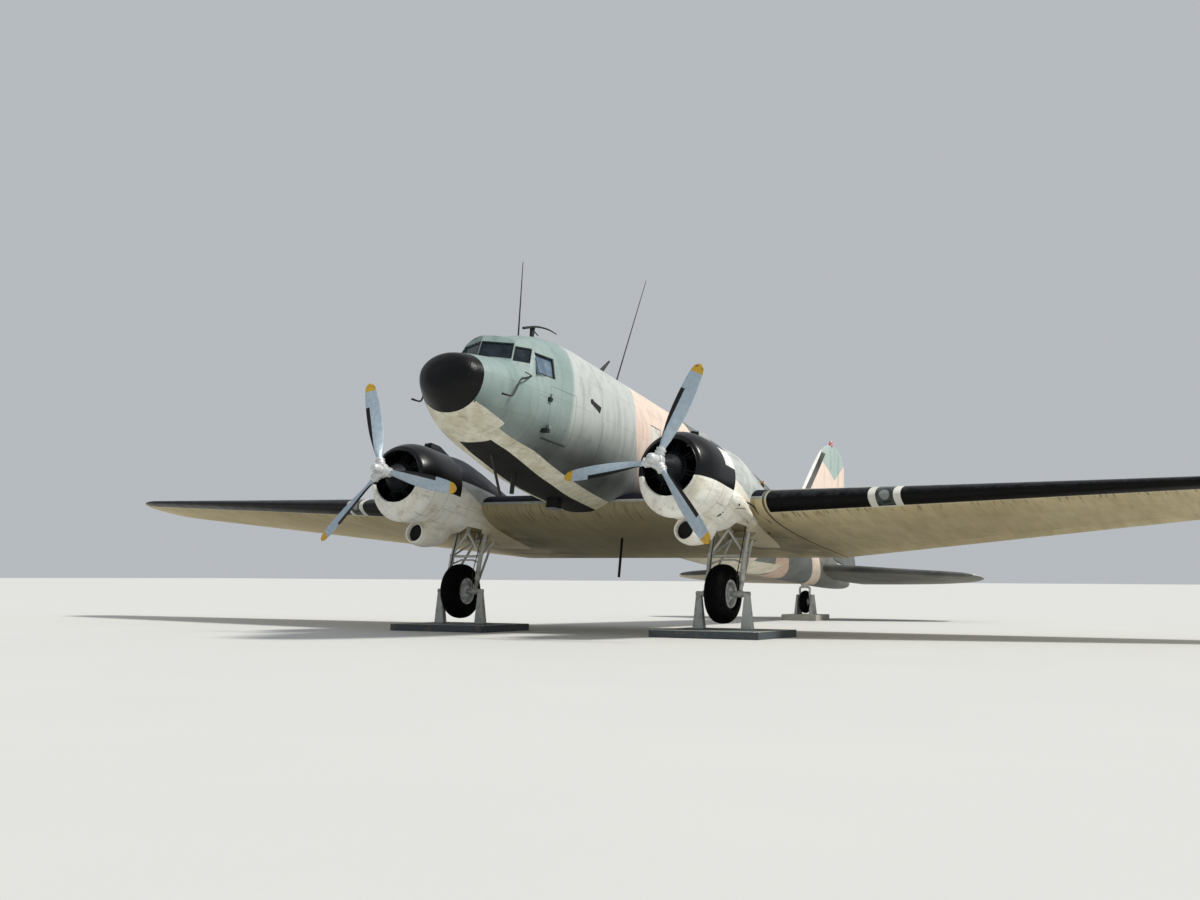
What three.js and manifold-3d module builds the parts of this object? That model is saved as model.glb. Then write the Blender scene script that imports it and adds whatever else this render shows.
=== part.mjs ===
// A military transport plane: two radial engines, low wing, tail wheel, parked on museum stands.
// Millimetres. The plane is laid out level in its own frame: x to port, y aft from the nose tip,
// z up from the line of thrust. A group then pitches it nose up onto its stands, with z = 0 at the
// ground and the origin below the middle of the whole.
import * as THREE from "three";
import { mergeVertices } from "three/addons/utils/BufferGeometryUtils.js";
import Module from "manifold-3d";

const wasm = await Module();
wasm.setup();

// Attitude on the stands
const PITCH_DEG = 9.9; // nose up
const SLAB_TOP = 130; // above the ground
const TYRE_CLEAR = 105; // the stands hold the tyres this far off the slabs
const FIT = 0.4; // gap between pieces that are bolted or bonded together
const SWING_GAP = 6; // gap round a piece that moves
const COVE_SHARE = 0.06; // more for a cove, as a share of its radius
const PIN_GAP = 0.8; // gap round the pin that it turns on

// Engines and propellers
const ENGINE_X = 2820;
const PROP_Y = 2400;
const BLADE_TIP = 1752;
const COWL_BACK = 3970;
const FIREWALL = 3850;
const COWL_SEGMENTS = 24;
// Cowl, outside and inside: distance aft, radius, and how far its chin hangs below that
const COWL = {
  outside: [
    { y: 2855, r: 520, chin: 20 },
    { y: 2885, r: 570, chin: 70 },
    { y: 2950, r: 612, chin: 118 },
    { y: 3060, r: 662, chin: 130 },
    { y: 3180, r: 696, chin: 105 },
    { y: 3340, r: 716, chin: 55 },
    { y: 3600, r: 722, chin: 20 },
    { y: COWL_BACK, r: 722, chin: 15 },
  ],
  inside: [
    { y: 2845, r: 512, chin: 0 },
    { y: 2875, r: 487, chin: 0 },
    { y: 2930, r: 500, chin: 10 },
    { y: 3010, r: 600, chin: 80 },
    { y: 3100, r: 652, chin: 95 },
    { y: 3340, r: 698, chin: 35 },
    { y: COWL_BACK + 20, r: 706, chin: 8 },
  ],
};

// Wing: centre section of constant chord, tapered outer panels
const WING_LE = { y: 4775, z: -140 };
const ROOT_CHORD = 4318;
const JOINT_X = 3660;
const TIP_X = 14555;
const SWEEP_DEG = 15.5;
const DIHEDRAL_DEG = 5;
const INCIDENCE_DEG = 3;
const AILERON_X = [8640, 13700];
const FLAP_CHORD = 760;
const FLAP_TIP_CHORD = 560;
const FLAP_HINGE_IN = 8; // above the skin

// Main gear
const WHEEL = { y: 5330, z: -1730, radius: 530, width: 392, rim: 228 };
const LEG_X = 335; // legs either side of the wheel
const AXLE_R = 45;
const AXLE_END = 520;
const WHEEL_SEGMENTS = 20;
// Wheel bay in the underside of each nacelle: wide round the legs, narrower behind
const BAY = [
  { half: 470, y0: 4660, y1: 5250 },
  { half: 400, y0: 5240, y1: 5720 },
  { half: 262, y0: 5700, y1: 6080 },
];

// Tail
const TAIL_WHEEL = { y: 16100, z: -170, radius: 280, width: 190, rim: 110 };
const TAIL_AXLE_R = 22;
const HINGE_RUDDER_Y = 17700;
const HINGE_ELEVATOR_Y = 17280;
const STABILISER_Z = 660;
const ELEVATOR_ROOT_X = 405;
const RUDDER_PIN_R = 16;
const ELEVATOR_PIN_R = 18;
const STABILISER_TIP_X = 4064;

// Fuselage wall and doors
const WALL = 60;
const NOSE_JOINT = 3400;
const TAIL_JOINT = 13400;
const FLOOR_Z = 330;

const rad = THREE.MathUtils.degToRad;
const vec = (x, y, z) => new THREE.Vector3(x, y, z);
const SIDES = [
  { side: "port", s: 1 },
  { side: "starboard", s: -1 },
];

// A closed geometry as a solid, with its faces turned outwards.
function solid(geometry) {
  const bare = geometry.clone();
  bare.deleteAttribute("normal");
  bare.deleteAttribute("uv");
  const merged = mergeVertices(bare, 1e-3);
  const p = merged.attributes.position.array;
  const t = Uint32Array.from(merged.index.array);
  let volume = 0;
  for (let i = 0; i < t.length; i += 3) {
    const [a, b, c] = [t[i] * 3, t[i + 1] * 3, t[i + 2] * 3];
    volume +=
      p[a] * (p[b + 1] * p[c + 2] - p[b + 2] * p[c + 1]) +
      p[a + 1] * (p[b + 2] * p[c] - p[b] * p[c + 2]) +
      p[a + 2] * (p[b] * p[c + 1] - p[b + 1] * p[c]);
  }
  if (volume < 0) for (let i = 0; i < t.length; i += 3) [t[i + 1], t[i + 2]] = [t[i + 2], t[i + 1]];
  return new wasm.Manifold(new wasm.Mesh({ numProp: 3, vertProperties: Float32Array.from(p), triVerts: t }));
}

// A skin over rings of points that each have the same count, closed by a fan at both ends.
function loft(rings) {
  const count = rings[0].length;
  const points = rings.flat();
  const index = [];
  for (let i = 0; i + 1 < rings.length; i++)
    for (let j = 0; j < count; j++) {
      const [a, b] = [i * count + j, i * count + ((j + 1) % count)];
      index.push(a, b, b + count, a, b + count, a + count);
    }
  for (const [first, turn] of [[0, 1], [(rings.length - 1) * count, -1]]) {
    const centre = vec(0, 0, 0);
    for (let j = 0; j < count; j++) centre.addScaledVector(points[first + j], 1 / count);
    points.push(centre);
    for (let j = 0; j < count; j++) {
      const [a, b] = [first + j, first + ((j + 1) % count)];
      index.push(points.length - 1, turn > 0 ? b : a, turn > 0 ? a : b);
    }
  }
  const geometry = new THREE.BufferGeometry().setFromPoints(points);
  geometry.setIndex(index);
  return solid(geometry);
}

function block(x0, x1, y0, y1, z0, z1) {
  const box = new THREE.BoxGeometry(x1 - x0, y1 - y0, z1 - z0);
  return solid(box.translate((x0 + x1) / 2, (y0 + y1) / 2, (z0 + z1) / 2));
}

// A round bar between two points, tapered if its second radius is given.
function rod(a, b, r, sides = 10, r2 = r) {
  const bar = new THREE.CylinderGeometry(r2, r, a.distanceTo(b), sides);
  const turn = new THREE.Quaternion().setFromUnitVectors(vec(0, 1, 0), b.clone().sub(a).normalize());
  bar.applyQuaternion(turn);
  const mid = a.clone().add(b).multiplyScalar(0.5);
  return solid(bar.translate(mid.x, mid.y, mid.z));
}

// A flat outline of [u, v] points made thick along one axis: for x they are [y, z], for y [z, x],
// for z [x, y].
const AXES = {
  x: [vec(0, 1, 0), vec(0, 0, 1), vec(1, 0, 0)],
  y: [vec(0, 0, 1), vec(1, 0, 0), vec(0, 1, 0)],
  z: [vec(1, 0, 0), vec(0, 1, 0), vec(0, 0, 1)],
};
function prism(outline, axis, from, to) {
  const shape = new THREE.Shape(outline.map(([u, v]) => new THREE.Vector2(u, v)));
  const bar = new THREE.ExtrudeGeometry(shape, { depth: to - from, bevelEnabled: false });
  bar.translate(0, 0, from);
  return solid(bar.applyMatrix4(new THREE.Matrix4().makeBasis(...AXES[axis])));
}

// A turned piece from [radius, distance] pairs along a line, about the y or x direction.
function turned(profile, segments, centre, axis = "y") {
  const g = new THREE.LatheGeometry(profile.map(([r, d]) => new THREE.Vector2(r, d)), segments);
  if (axis === "x") g.rotateZ(-Math.PI / 2);
  return solid(g.translate(centre.x, centre.y, centre.z));
}

const ringAt = (centre, u, v, ru, rv, count) =>
  Array.from({ length: count }, (_, k) => {
    const t = (2 * Math.PI * k) / count;
    return centre.clone().addScaledVector(u, ru * Math.cos(t)).addScaledVector(v, rv * Math.sin(t));
  });

const join = (...solids) => solids.reduce((sum, s) => sum.add(s));
const mirrorX = (s) => s.mirror([1, 0, 0]);

// The value of one column of a station table at y: a smooth curve through its rows.
function at(table, column, y) {
  const last = table.length - 1;
  const slope = (i) => {
    const [a, b] = [table[Math.max(i - 1, 0)], table[Math.min(i + 1, last)]];
    return (b[column] - a[column]) / (b.y - a.y);
  };
  let i = 0;
  while (i < last - 1 && y > table[i + 1].y) i++;
  const [a, b] = [table[i], table[i + 1]];
  const h = b.y - a.y;
  const t = (y - a.y) / h;
  return (
    a[column] * (2 * t ** 3 - 3 * t ** 2 + 1) +
    h * slope(i) * (t ** 3 - 2 * t ** 2 + t) +
    b[column] * (3 * t ** 2 - 2 * t ** 3) +
    h * slope(i + 1) * (t ** 3 - t ** 2)
  );
}

// Fuselage stations: distance aft, half width, underside, level of the greatest width, crown without
// the cockpit roof, crown with it, and squareness of the section (2 is an ellipse).
const FUSELAGE = [
  { y: 0, half: 40, low: 930, mid: 970, deck: 1010, crown: 1010, n: 2 },
  { y: 40, half: 310, low: 700, mid: 985, deck: 1210, crown: 1230, n: 2 },
  { y: 140, half: 495, low: 560, mid: 1010, deck: 1350, crown: 1395, n: 2 },
  { y: 320, half: 605, low: 430, mid: 1000, deck: 1415, crown: 1550, n: 2.1 },
  { y: 600, half: 718, low: 300, mid: 960, deck: 1472, crown: 1745, n: 2.2 },
  { y: 1000, half: 852, low: 165, mid: 910, deck: 1545, crown: 1930, n: 2.3 },
  { y: 1500, half: 958, low: 60, mid: 880, deck: 1620, crown: 2060, n: 2.4 },
  { y: 2100, half: 1040, low: -50, mid: 910, deck: 1690, crown: 2265, n: 2.4 },
  { y: 2800, half: 1130, low: -178, mid: 935, deck: 1755, crown: 2362, n: 2.3 },
  { y: 3600, half: 1188, low: -256, mid: 955, deck: 1798, crown: 2362, n: 2.2 },
  { y: 5000, half: 1238, low: -300, mid: 975, deck: 1800, crown: 2328, n: 2.15 },
  { y: 7000, half: 1250, low: -320, mid: 970, deck: 1800, crown: 2275, n: 2.15 },
  { y: 9200, half: 1245, low: -310, mid: 950, deck: 1800, crown: 2200, n: 2.15 },
  { y: 11000, half: 1165, low: -215, mid: 920, deck: 1800, crown: 2050, n: 2.1 },
  { y: 13000, half: 960, low: -35, mid: 880, deck: 1800, crown: 1810, n: 2.05 },
  { y: 15000, half: 690, low: 150, mid: 840, deck: 1520, crown: 1520, n: 2 },
  { y: 16500, half: 470, low: 290, mid: 800, deck: 1310, crown: 1310, n: 2 },
  { y: 17700, half: 290, low: 430, mid: 780, deck: 1140, crown: 1140, n: 2 },
  { y: 18500, half: 170, low: 560, mid: 760, deck: 960, crown: 960, n: 2 },
  { y: 18880, half: 70, low: 660, mid: 750, deck: 840, crown: 840, n: 2 },
];
const OUTER_POINTS = 24;
const INNER_POINTS = 12;

// One ring of the hull at y, drawn in from the skin by inset, with the top column that is named.
function hullRing(y, inset = 0, top = "crown", count = inset >= WALL ? INNER_POINTS : OUTER_POINTS) {
  const [low, mid] = [at(FUSELAGE, "low", y) + inset, at(FUSELAGE, "mid", y)];
  const high = at(FUSELAGE, top, y) - inset;
  const half = at(FUSELAGE, "half", y) - inset;
  const power = 2 / at(FUSELAGE, "n", y);
  return Array.from({ length: count }, (_, k) => {
    const t = (2 * Math.PI * k) / count;
    const [c, s] = [Math.cos(t), Math.sin(t)];
    const rise = s > 0 ? high - mid : mid - low;
    return vec(
      half * Math.sign(c) * Math.abs(c) ** power,
      y,
      mid + rise * Math.sign(s) * Math.abs(s) ** power,
    );
  });
}
const hull = (stations, inset, top) => loft(stations.map((y) => hullRing(y, inset, top)));

const skinX = (y, z, inset = 0) => {
  const [mid, n] = [at(FUSELAGE, "mid", y), at(FUSELAGE, "n", y)];
  const reach = z > mid ? at(FUSELAGE, "crown", y) - inset - mid : mid - at(FUSELAGE, "low", y) - inset;
  const rise = Math.min(1, Math.abs(z - mid) / reach);
  return (at(FUSELAGE, "half", y) - inset) * (1 - rise ** n) ** (1 / n);
};

// The groups: the plane pitched on its stands, and the ground under both
const ground = new THREE.Group();
const plane = new THREE.Group();
plane.rotation.x = -rad(PITCH_DEG);
const wheelHeight = SLAB_TOP + TYRE_CLEAR + WHEEL.radius;
const lift = wheelHeight + WHEEL.y * Math.sin(rad(PITCH_DEG)) - WHEEL.z * Math.cos(rad(PITCH_DEG));
plane.position.z = lift;
ground.add(plane);
// A point of the level plane, in the ground's frame
const parked = (y, z) => ({
  y: y * Math.cos(rad(PITCH_DEG)) + z * Math.sin(rad(PITCH_DEG)),
  z: z * Math.cos(rad(PITCH_DEG)) - y * Math.sin(rad(PITCH_DEG)) + lift,
});

const PAINT = {
  greygreen: { color: 0x71807a, roughness: 0.75, metalness: 0.05 },
  cream: { color: 0xc9c0a4, roughness: 0.7, metalness: 0.05 },
  black: { color: 0x17181a, roughness: 0.6, metalness: 0.05 },
  rubber: { color: 0x161616, roughness: 0.85, metalness: 0 },
  silver: { color: 0xa6a8a8, roughness: 0.45, metalness: 0.7 },
  grey: { color: 0x8b9092, roughness: 0.6, metalness: 0.3 },
  glass: { color: 0x59656a, roughness: 0.15, metalness: 0 },
  slab: { color: 0x4c565e, roughness: 0.8, metalness: 0.1 },
  engine: { color: 0x3c3e40, roughness: 0.5, metalness: 0.6 },
  inside: { color: 0x4e5a4a, roughness: 0.8, metalness: 0.05 },
};

function piece(name, shape, paint, parent = plane) {
  const m = shape.getMesh();
  const xyz = new Float32Array(m.numVert * 3);
  for (let i = 0; i < m.numVert; i++) {
    const from = i * m.numProp;
    xyz.set(m.vertProperties.subarray(from, from + 3), i * 3);
  }
  const geometry = new THREE.BufferGeometry().setAttribute("position", new THREE.BufferAttribute(xyz, 3));
  geometry.setIndex(new THREE.BufferAttribute(m.triVerts, 1));
  const mesh = new THREE.Mesh(geometry, new THREE.MeshStandardMaterial(PAINT[paint]));
  mesh.name = name;
  parent.add(mesh);
}

// Cuts a hinged surface out of a body. The hinge runs from a to b; the piece aft of it moves. Its
// nose is a cone about the hinge, r0 at a and r1 at b, in a cove that clears it, and a pin at each
// end reaches into the fixed structure.
function hinged(body, { a, b, r0, r1, depth, pin = 14, pinLength = 45 }) {
  const along = b.clone().sub(a);
  const length = along.length();
  along.normalize();
  const aft = vec(0, 1, 0).addScaledVector(along, -along.y).normalize();
  const up = along.clone().cross(aft);
  const frame = new THREE.Matrix4().makeBasis(along, aft, up).setPosition(a);
  const placed = (g) => solid(g.applyMatrix4(frame));
  const slice = (x0, x1, back) =>
    placed(new THREE.BoxGeometry(x1 - x0, back, 3000).translate((x0 + x1) / 2, back / 2, 0));
  const cone = (x0, x1, grow, sides) => {
    const [ra, rb] = [x0, x1].map((x) => r0 + ((r1 - r0) * x) / length + grow);
    const g = new THREE.CylinderGeometry(rb, ra, x1 - x0, sides).rotateZ(-Math.PI / 2);
    return placed(g.translate((x0 + x1) / 2, 0, 0));
  };
  const pins = (grow, sides) => {
    const g = new THREE.CylinderGeometry(pin + grow, pin + grow, length + 2 * pinLength + 4 * grow, sides);
    return placed(g.rotateZ(-Math.PI / 2).translate(length / 2, 0, 0));
  };
  const nose = cone(SWING_GAP, length - SWING_GAP, 0, 12);
  const moving = join(body.intersect(slice(SWING_GAP, length - SWING_GAP, depth)), nose, pins(0, 8));
  const cove = cone(0, length, SWING_GAP + COVE_SHARE * Math.max(r0, r1), 12);
  const fixed = body.subtract(slice(0, length, depth)).subtract(cove).subtract(pins(PIN_GAP, 16));
  return { moving, fixed };
}

// Wing

// An aerofoil ring: leading edge point, chord, thickness and camber as shares of the chord, and the
// angle of the chord. Grown outwards by grow.
const CHORD_STEPS = [0, 0.02, 0.07, 0.16, 0.3, 0.46, 0.64, 0.82, 1];
function aerofoil({ x, y, z, chord, thick, camber = 0, angle = 0, grow = 0 }) {
  const half = (f) =>
    5 * thick * (0.2969 * Math.sqrt(f) - 0.126 * f - 0.3516 * f ** 2 + 0.2843 * f ** 3 - 0.1015 * f ** 4);
  const mean = (f) => camber * (f < 0.4 ? 5 * f - 6.25 * f * f : (10 * (0.2 + 0.8 * f - f * f)) / 3.6);
  const [c, s] = [Math.cos(rad(angle)), Math.sin(rad(angle))];
  const point = (f, side) => {
    const reach = f * chord + (f === 0 ? -grow : f === 1 ? grow : 0);
    const rise = mean(f) * chord + side * (half(f) * chord + 5 * f + (f === 0 ? 0 : grow));
    return vec(x, y + reach * c + rise * s, z + rise * c - reach * s);
  };
  const upper = CHORD_STEPS.map((f) => point(f, 1));
  const lower = CHORD_STEPS.slice(1).reverse().map((f) => point(f, -1));
  return [...upper, ...lower];
}

// Outer panel stations: x, chord cut off in front of and behind the straight taper, thickness share
const PANEL = [
  { x: JOINT_X, front: 0, back: 0, thick: 0.15 },
  { x: AILERON_X[0], front: 0, back: 0, thick: 0.125 },
  { x: AILERON_X[1], front: 0, back: 0, thick: 0.1 },
  { x: 14130, front: 60, back: 90, thick: 0.095 },
  { x: 14400, front: 210, back: 300, thick: 0.085 },
  { x: TIP_X - 30, front: 430, back: 560, thick: 0.07 },
  { x: TIP_X, front: 500, back: 700, thick: 0.03 },
];
function wingRing(x, { front = 0, back = 0, thick = 0.15 }, grow = 0) {
  const out = Math.max(0, x - JOINT_X);
  const sweep = out * Math.tan(rad(SWEEP_DEG));
  const y = WING_LE.y + sweep + front;
  return aerofoil({
    x,
    y,
    z: WING_LE.z + out * Math.tan(rad(DIHEDRAL_DEG)) - (front * INCIDENCE_DEG) / 57,
    chord: ROOT_CHORD - sweep - front - back,
    thick,
    camber: 0.02,
    angle: INCIDENCE_DEG,
    grow,
  });
}
const wingMean = (x, y) => {
  const out = Math.max(0, x - JOINT_X);
  const reach = y - WING_LE.y - out * Math.tan(rad(SWEEP_DEG));
  const f = reach / (ROOT_CHORD - out * Math.tan(rad(SWEEP_DEG)));
  const camber = (0.02 * (ROOT_CHORD - out * 0.277) * 10 * (0.2 + 0.8 * f - f * f)) / 3.6;
  return WING_LE.z + out * Math.tan(rad(DIHEDRAL_DEG)) - reach * Math.tan(rad(INCIDENCE_DEG)) + camber;
};
const TRAILING_Y = WING_LE.y + ROOT_CHORD * Math.cos(rad(INCIDENCE_DEG));

const centreWing = (grow) =>
  loft([wingRing(-JOINT_X + FIT, {}, grow), wingRing(0, {}, grow), wingRing(JOINT_X - FIT, {}, grow)]);

// A split flap: a plate on the underside in front of the trailing edge, hinged along its front.
function splitFlap(wing, a, b, chordA, chordB) {
  const along = b.clone().sub(a);
  const length = along.length();
  along.normalize();
  const aft = vec(0, 1, 0).addScaledVector(along, -along.y).normalize();
  aft.applyAxisAngle(along, -rad(INCIDENCE_DEG + 3));
  const up = along.clone().cross(aft);
  const frame = new THREE.Matrix4().makeBasis(along, aft, up).setPosition(a);
  const slab = (x0, x1, high, grow) => {
    const ends = [x0, x1].map((x) => {
      const depth = chordA + ((chordB - chordA) * x) / length + 200;
      return [
        [-grow, -300],
        [-grow, high + 10],
        [depth - 200, high - 2],
        [depth, high - 4],
        [depth, -300],
      ].map(([v, w]) => vec(x, v, w).applyMatrix4(frame));
    });
    return loft(ends);
  };
  const bead = (x0, x1, r, sides) => {
    const g = new THREE.CylinderGeometry(r, r, x1 - x0, sides).rotateZ(-Math.PI / 2);
    return solid(g.translate((x0 + x1) / 2, 0, 0).applyMatrix4(frame));
  };
  const plate = wing.intersect(slab(SWING_GAP, length - SWING_GAP, 12, -SWING_GAP));
  const moving = join(plate, bead(SWING_GAP, length - SWING_GAP, 16, 12));
  const fixed = wing.subtract(slab(0, length, 19, 0)).subtract(bead(0, length, 16 + PIN_GAP, 16));
  return { moving, fixed };
}

// A point near the underside of the wing where a flap is hinged
const underside = (x, y) => {
  const out = Math.max(0, x - JOINT_X);
  const chord = ROOT_CHORD - out * Math.tan(rad(SWEEP_DEG));
  const f = (y - WING_LE.y - out * Math.tan(rad(SWEEP_DEG))) / chord;
  const thick = 0.15 - (0.025 * out) / (AILERON_X[0] - JOINT_X);
  const half =
    5 * thick * (0.2969 * Math.sqrt(f) - 0.126 * f - 0.3516 * f ** 2 + 0.2843 * f ** 3 - 0.1015 * f ** 4);
  return vec(x, y, wingMean(x, y) - half * chord + FLAP_HINGE_IN);
};

{
  const flapY = TRAILING_Y - FLAP_CHORD;
  const inner = { a: underside(-JOINT_X + 40, flapY), b: underside(JOINT_X - 40, flapY) };
  const flap = splitFlap(centreWing(0), inner.a, inner.b, FLAP_CHORD, FLAP_CHORD);
  const mast = rod(vec(0, 6550, -400), vec(0, 6550, -1230), 26, 8);
  piece("wing_centre", flap.fixed.add(mast), "cream");
  piece("flap_centre", flap.moving, "cream");

  const panel = loft(PANEL.map((p) => wingRing(p.x, p)));
  const hinge = AILERON_X.map((x, i) => {
    const y = TRAILING_Y - (i ? 330 : 500);
    return vec(x, y, wingMean(x, y));
  });
  const roll = hinged(panel, { a: hinge[0], b: hinge[1], r0: 77, r1: 42.5, depth: 900, pin: 12 });
  const a = underside(JOINT_X + 60, flapY);
  const b = underside(AILERON_X[0] - 70, TRAILING_Y - FLAP_TIP_CHORD);
  const outer = splitFlap(roll.fixed, a, b, FLAP_CHORD, FLAP_TIP_CHORD);
  for (const { side, s } of SIDES) {
    const set = (p) => (s > 0 ? p : mirrorX(p));
    piece("wing_" + side, set(outer.fixed), "cream");
    piece("flap_" + side, set(outer.moving), "cream");
    piece("aileron_" + side, set(roll.moving), "cream");
  }
}

// Nose, cockpit and cabin

const NOSE_STATIONS = [0, 40, 140, 320, 600, 1000, 1500, 2100, 2800, NOSE_JOINT];
const NOSE_FRAME = 430; // the hollow of the nose starts behind its front frame
const CABIN_STATIONS = [NOSE_JOINT, 5000, 7200, 9300, 11300, TAIL_JOINT];
const TAIL_STATIONS = [TAIL_JOINT, 15000, 16500, 17700, 18500, 18880];

// The black cap at the tip ends at this station
const CAP_EDGE = 362;
// The windscreen: its plan at the sill, as [x, y] from the centre post aft, and its lean
const SILL_Z = 1550;
const SCREEN = [[0, 985], [535, 1240], [800, 1500], [985, 1950], [1300, 2600], [1500, NOSE_JOINT + 50]];
const SCREEN_LEAN = 0.3;
const screenPoint = ([x, y], z, out = 0) => {
  const rise = z - SILL_Z;
  return vec(x * (1 - (rise * 0.2) / 1000), y + SCREEN_LEAN * rise * (x > 900 ? 0.2 : 1) - out, z);
};

function glasshouse(inset) {
  return loft(
    [1000, 2700].map((z) => {
      const right = SCREEN.map((p) => screenPoint(p, z, -inset * 1.15));
      const left = right.slice(1).reverse().map((p) => vec(-p.x, p.y, p.z));
      return [...right, ...left];
    }),
  );
}
function noseBody(inset) {
  const stations = inset > 0 ? [NOSE_FRAME, 700, 1200, 2100, NOSE_JOINT + 50] : NOSE_STATIONS;
  const lower = hull(stations, inset, "deck");
  const roof = hull(stations.filter((y) => y >= 600), inset, "crown").intersect(glasshouse(inset));
  return lower.add(roof);
}

// A pane from its four corners on the skin, in order round it: the prism between two depths
function pane(corners, outer, inner, shrink) {
  const mid = vec(0, 0, 0);
  corners.forEach((c) => mid.addScaledVector(c, 0.25));
  const normal = corners[1].clone().sub(corners[0]).cross(corners[3].clone().sub(corners[0])).normalize();
  if (normal.dot(vec(mid.x, -1, mid.z - 900)) < 0) normal.negate();
  const drawn = corners.map((c) => c.clone().lerp(mid, shrink / c.distanceTo(mid)));
  return loft([outer, inner].map((d) => drawn.map((c) => c.clone().addScaledVector(normal, d))));
}
const onScreen = (i, f, z) => {
  const [p, q] = [SCREEN[i], SCREEN[i + 1]];
  return screenPoint([p[0] + (q[0] - p[0]) * f, p[1] + (q[1] - p[1]) * f], z);
};
// Cockpit panes on the port side: name, screen facet, start and end along it, sill and head heights
const PANES = [
  { name: "windshield", facet: 0, from: 0.03, to: 0.98, low: 1566, high: 1850 },
  { name: "quarter_pane", facet: 1, from: 0.07, to: 0.85, low: 1532, high: 1800 },
];
const SIDE_WINDOW = { y0: 1525, y1: 1930, low: 1375, high: 1735, rake: 50 };

function cockpitPanes() {
  const panes = PANES.map(({ name, facet, from, to, low, high }) => ({
    name,
    corners: [
      onScreen(facet, from, low),
      onScreen(facet, to, low),
      onScreen(facet, to, high),
      onScreen(facet, from, high),
    ],
  }));
  const w = SIDE_WINDOW;
  const edge = (y, z) => vec(skinX(y, z), y, z);
  const corners = [
    edge(w.y0, w.low),
    edge(w.y1, w.low),
    edge(w.y1 + w.rake, w.high),
    edge(w.y0 + w.rake, w.high),
  ];
  return [...panes, { name: "side_window", corners }];
}

// Doors: y range, z range, hinge edge, on the port side
const DOORS = [
  { name: "crew_door", y0: 1840, y1: 2545, low: 340, high: 1230, hinge: "front", section: "nose" },
  { name: "cargo_door_front", y0: 10350, y1: 11560, low: 345, high: 1680, hinge: "front", section: "cabin" },
  { name: "cargo_door_rear", y0: 11580, y1: 12450, low: 345, high: 1620, hinge: "rear", section: "cabin" },
];
// A leaf is its outer skin and, set back from its free edge, the frame inside
const LEAF_SKIN = 18;
const LEAF_REBATE = 45;
const HINGE_OUT = 26; // hinge line outside the widest skin of the door
const KNUCKLE = { r: 14, length: 70, strap: 70 };

// The hinge line of a door, straight and upright, just outside the skin at its hinged edge
const doorHinge = (d) => {
  const y = d.hinge === "front" ? d.y0 - 2 : d.y1 + 2;
  const mid = at(FUSELAGE, "mid", y);
  const x = skinX(y, Math.min(Math.max(mid, d.low), d.high)) + HINGE_OUT;
  return { x, y, z: [d.low + 130, d.high - 220] };
};
// One knuckle at a height, the frame's below the leaf's, with a strap back to its own skin
function knuckle(d, z, which) {
  const h = doorHinge(d);
  const reach = (which === "leaf") === (d.hinge === "front") ? 1 : -1;
  const [z0, z1] = which === "leaf" ? [z + FIT, z + KNUCKLE.length] : [z - KNUCKLE.length, z - FIT];
  const end = h.y + reach * KNUCKLE.strap;
  const inner = skinX(h.y + (reach * KNUCKLE.strap) / 2, z) - WALL / 2;
  const barrel = rod(vec(h.x, h.y, z0), vec(h.x, h.y, z1), KNUCKLE.r, 8);
  const strap = block(inner, h.x + 6, Math.min(h.y + reach * 4, end), Math.max(h.y + reach * 4, end), z0, z1);
  return barrel.add(strap);
}
const doorZone = (d, gap) => block(0, 2000, d.y0 + gap, d.y1 - gap, d.low + gap, d.high - gap);

// Cabin windows, blanked with white covers: first window, pitch, count and size
const CABIN_WINDOW = { first: 5110, pitch: 1020, count: 5, width: 400, low: 1060, high: 1400 };

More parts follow.
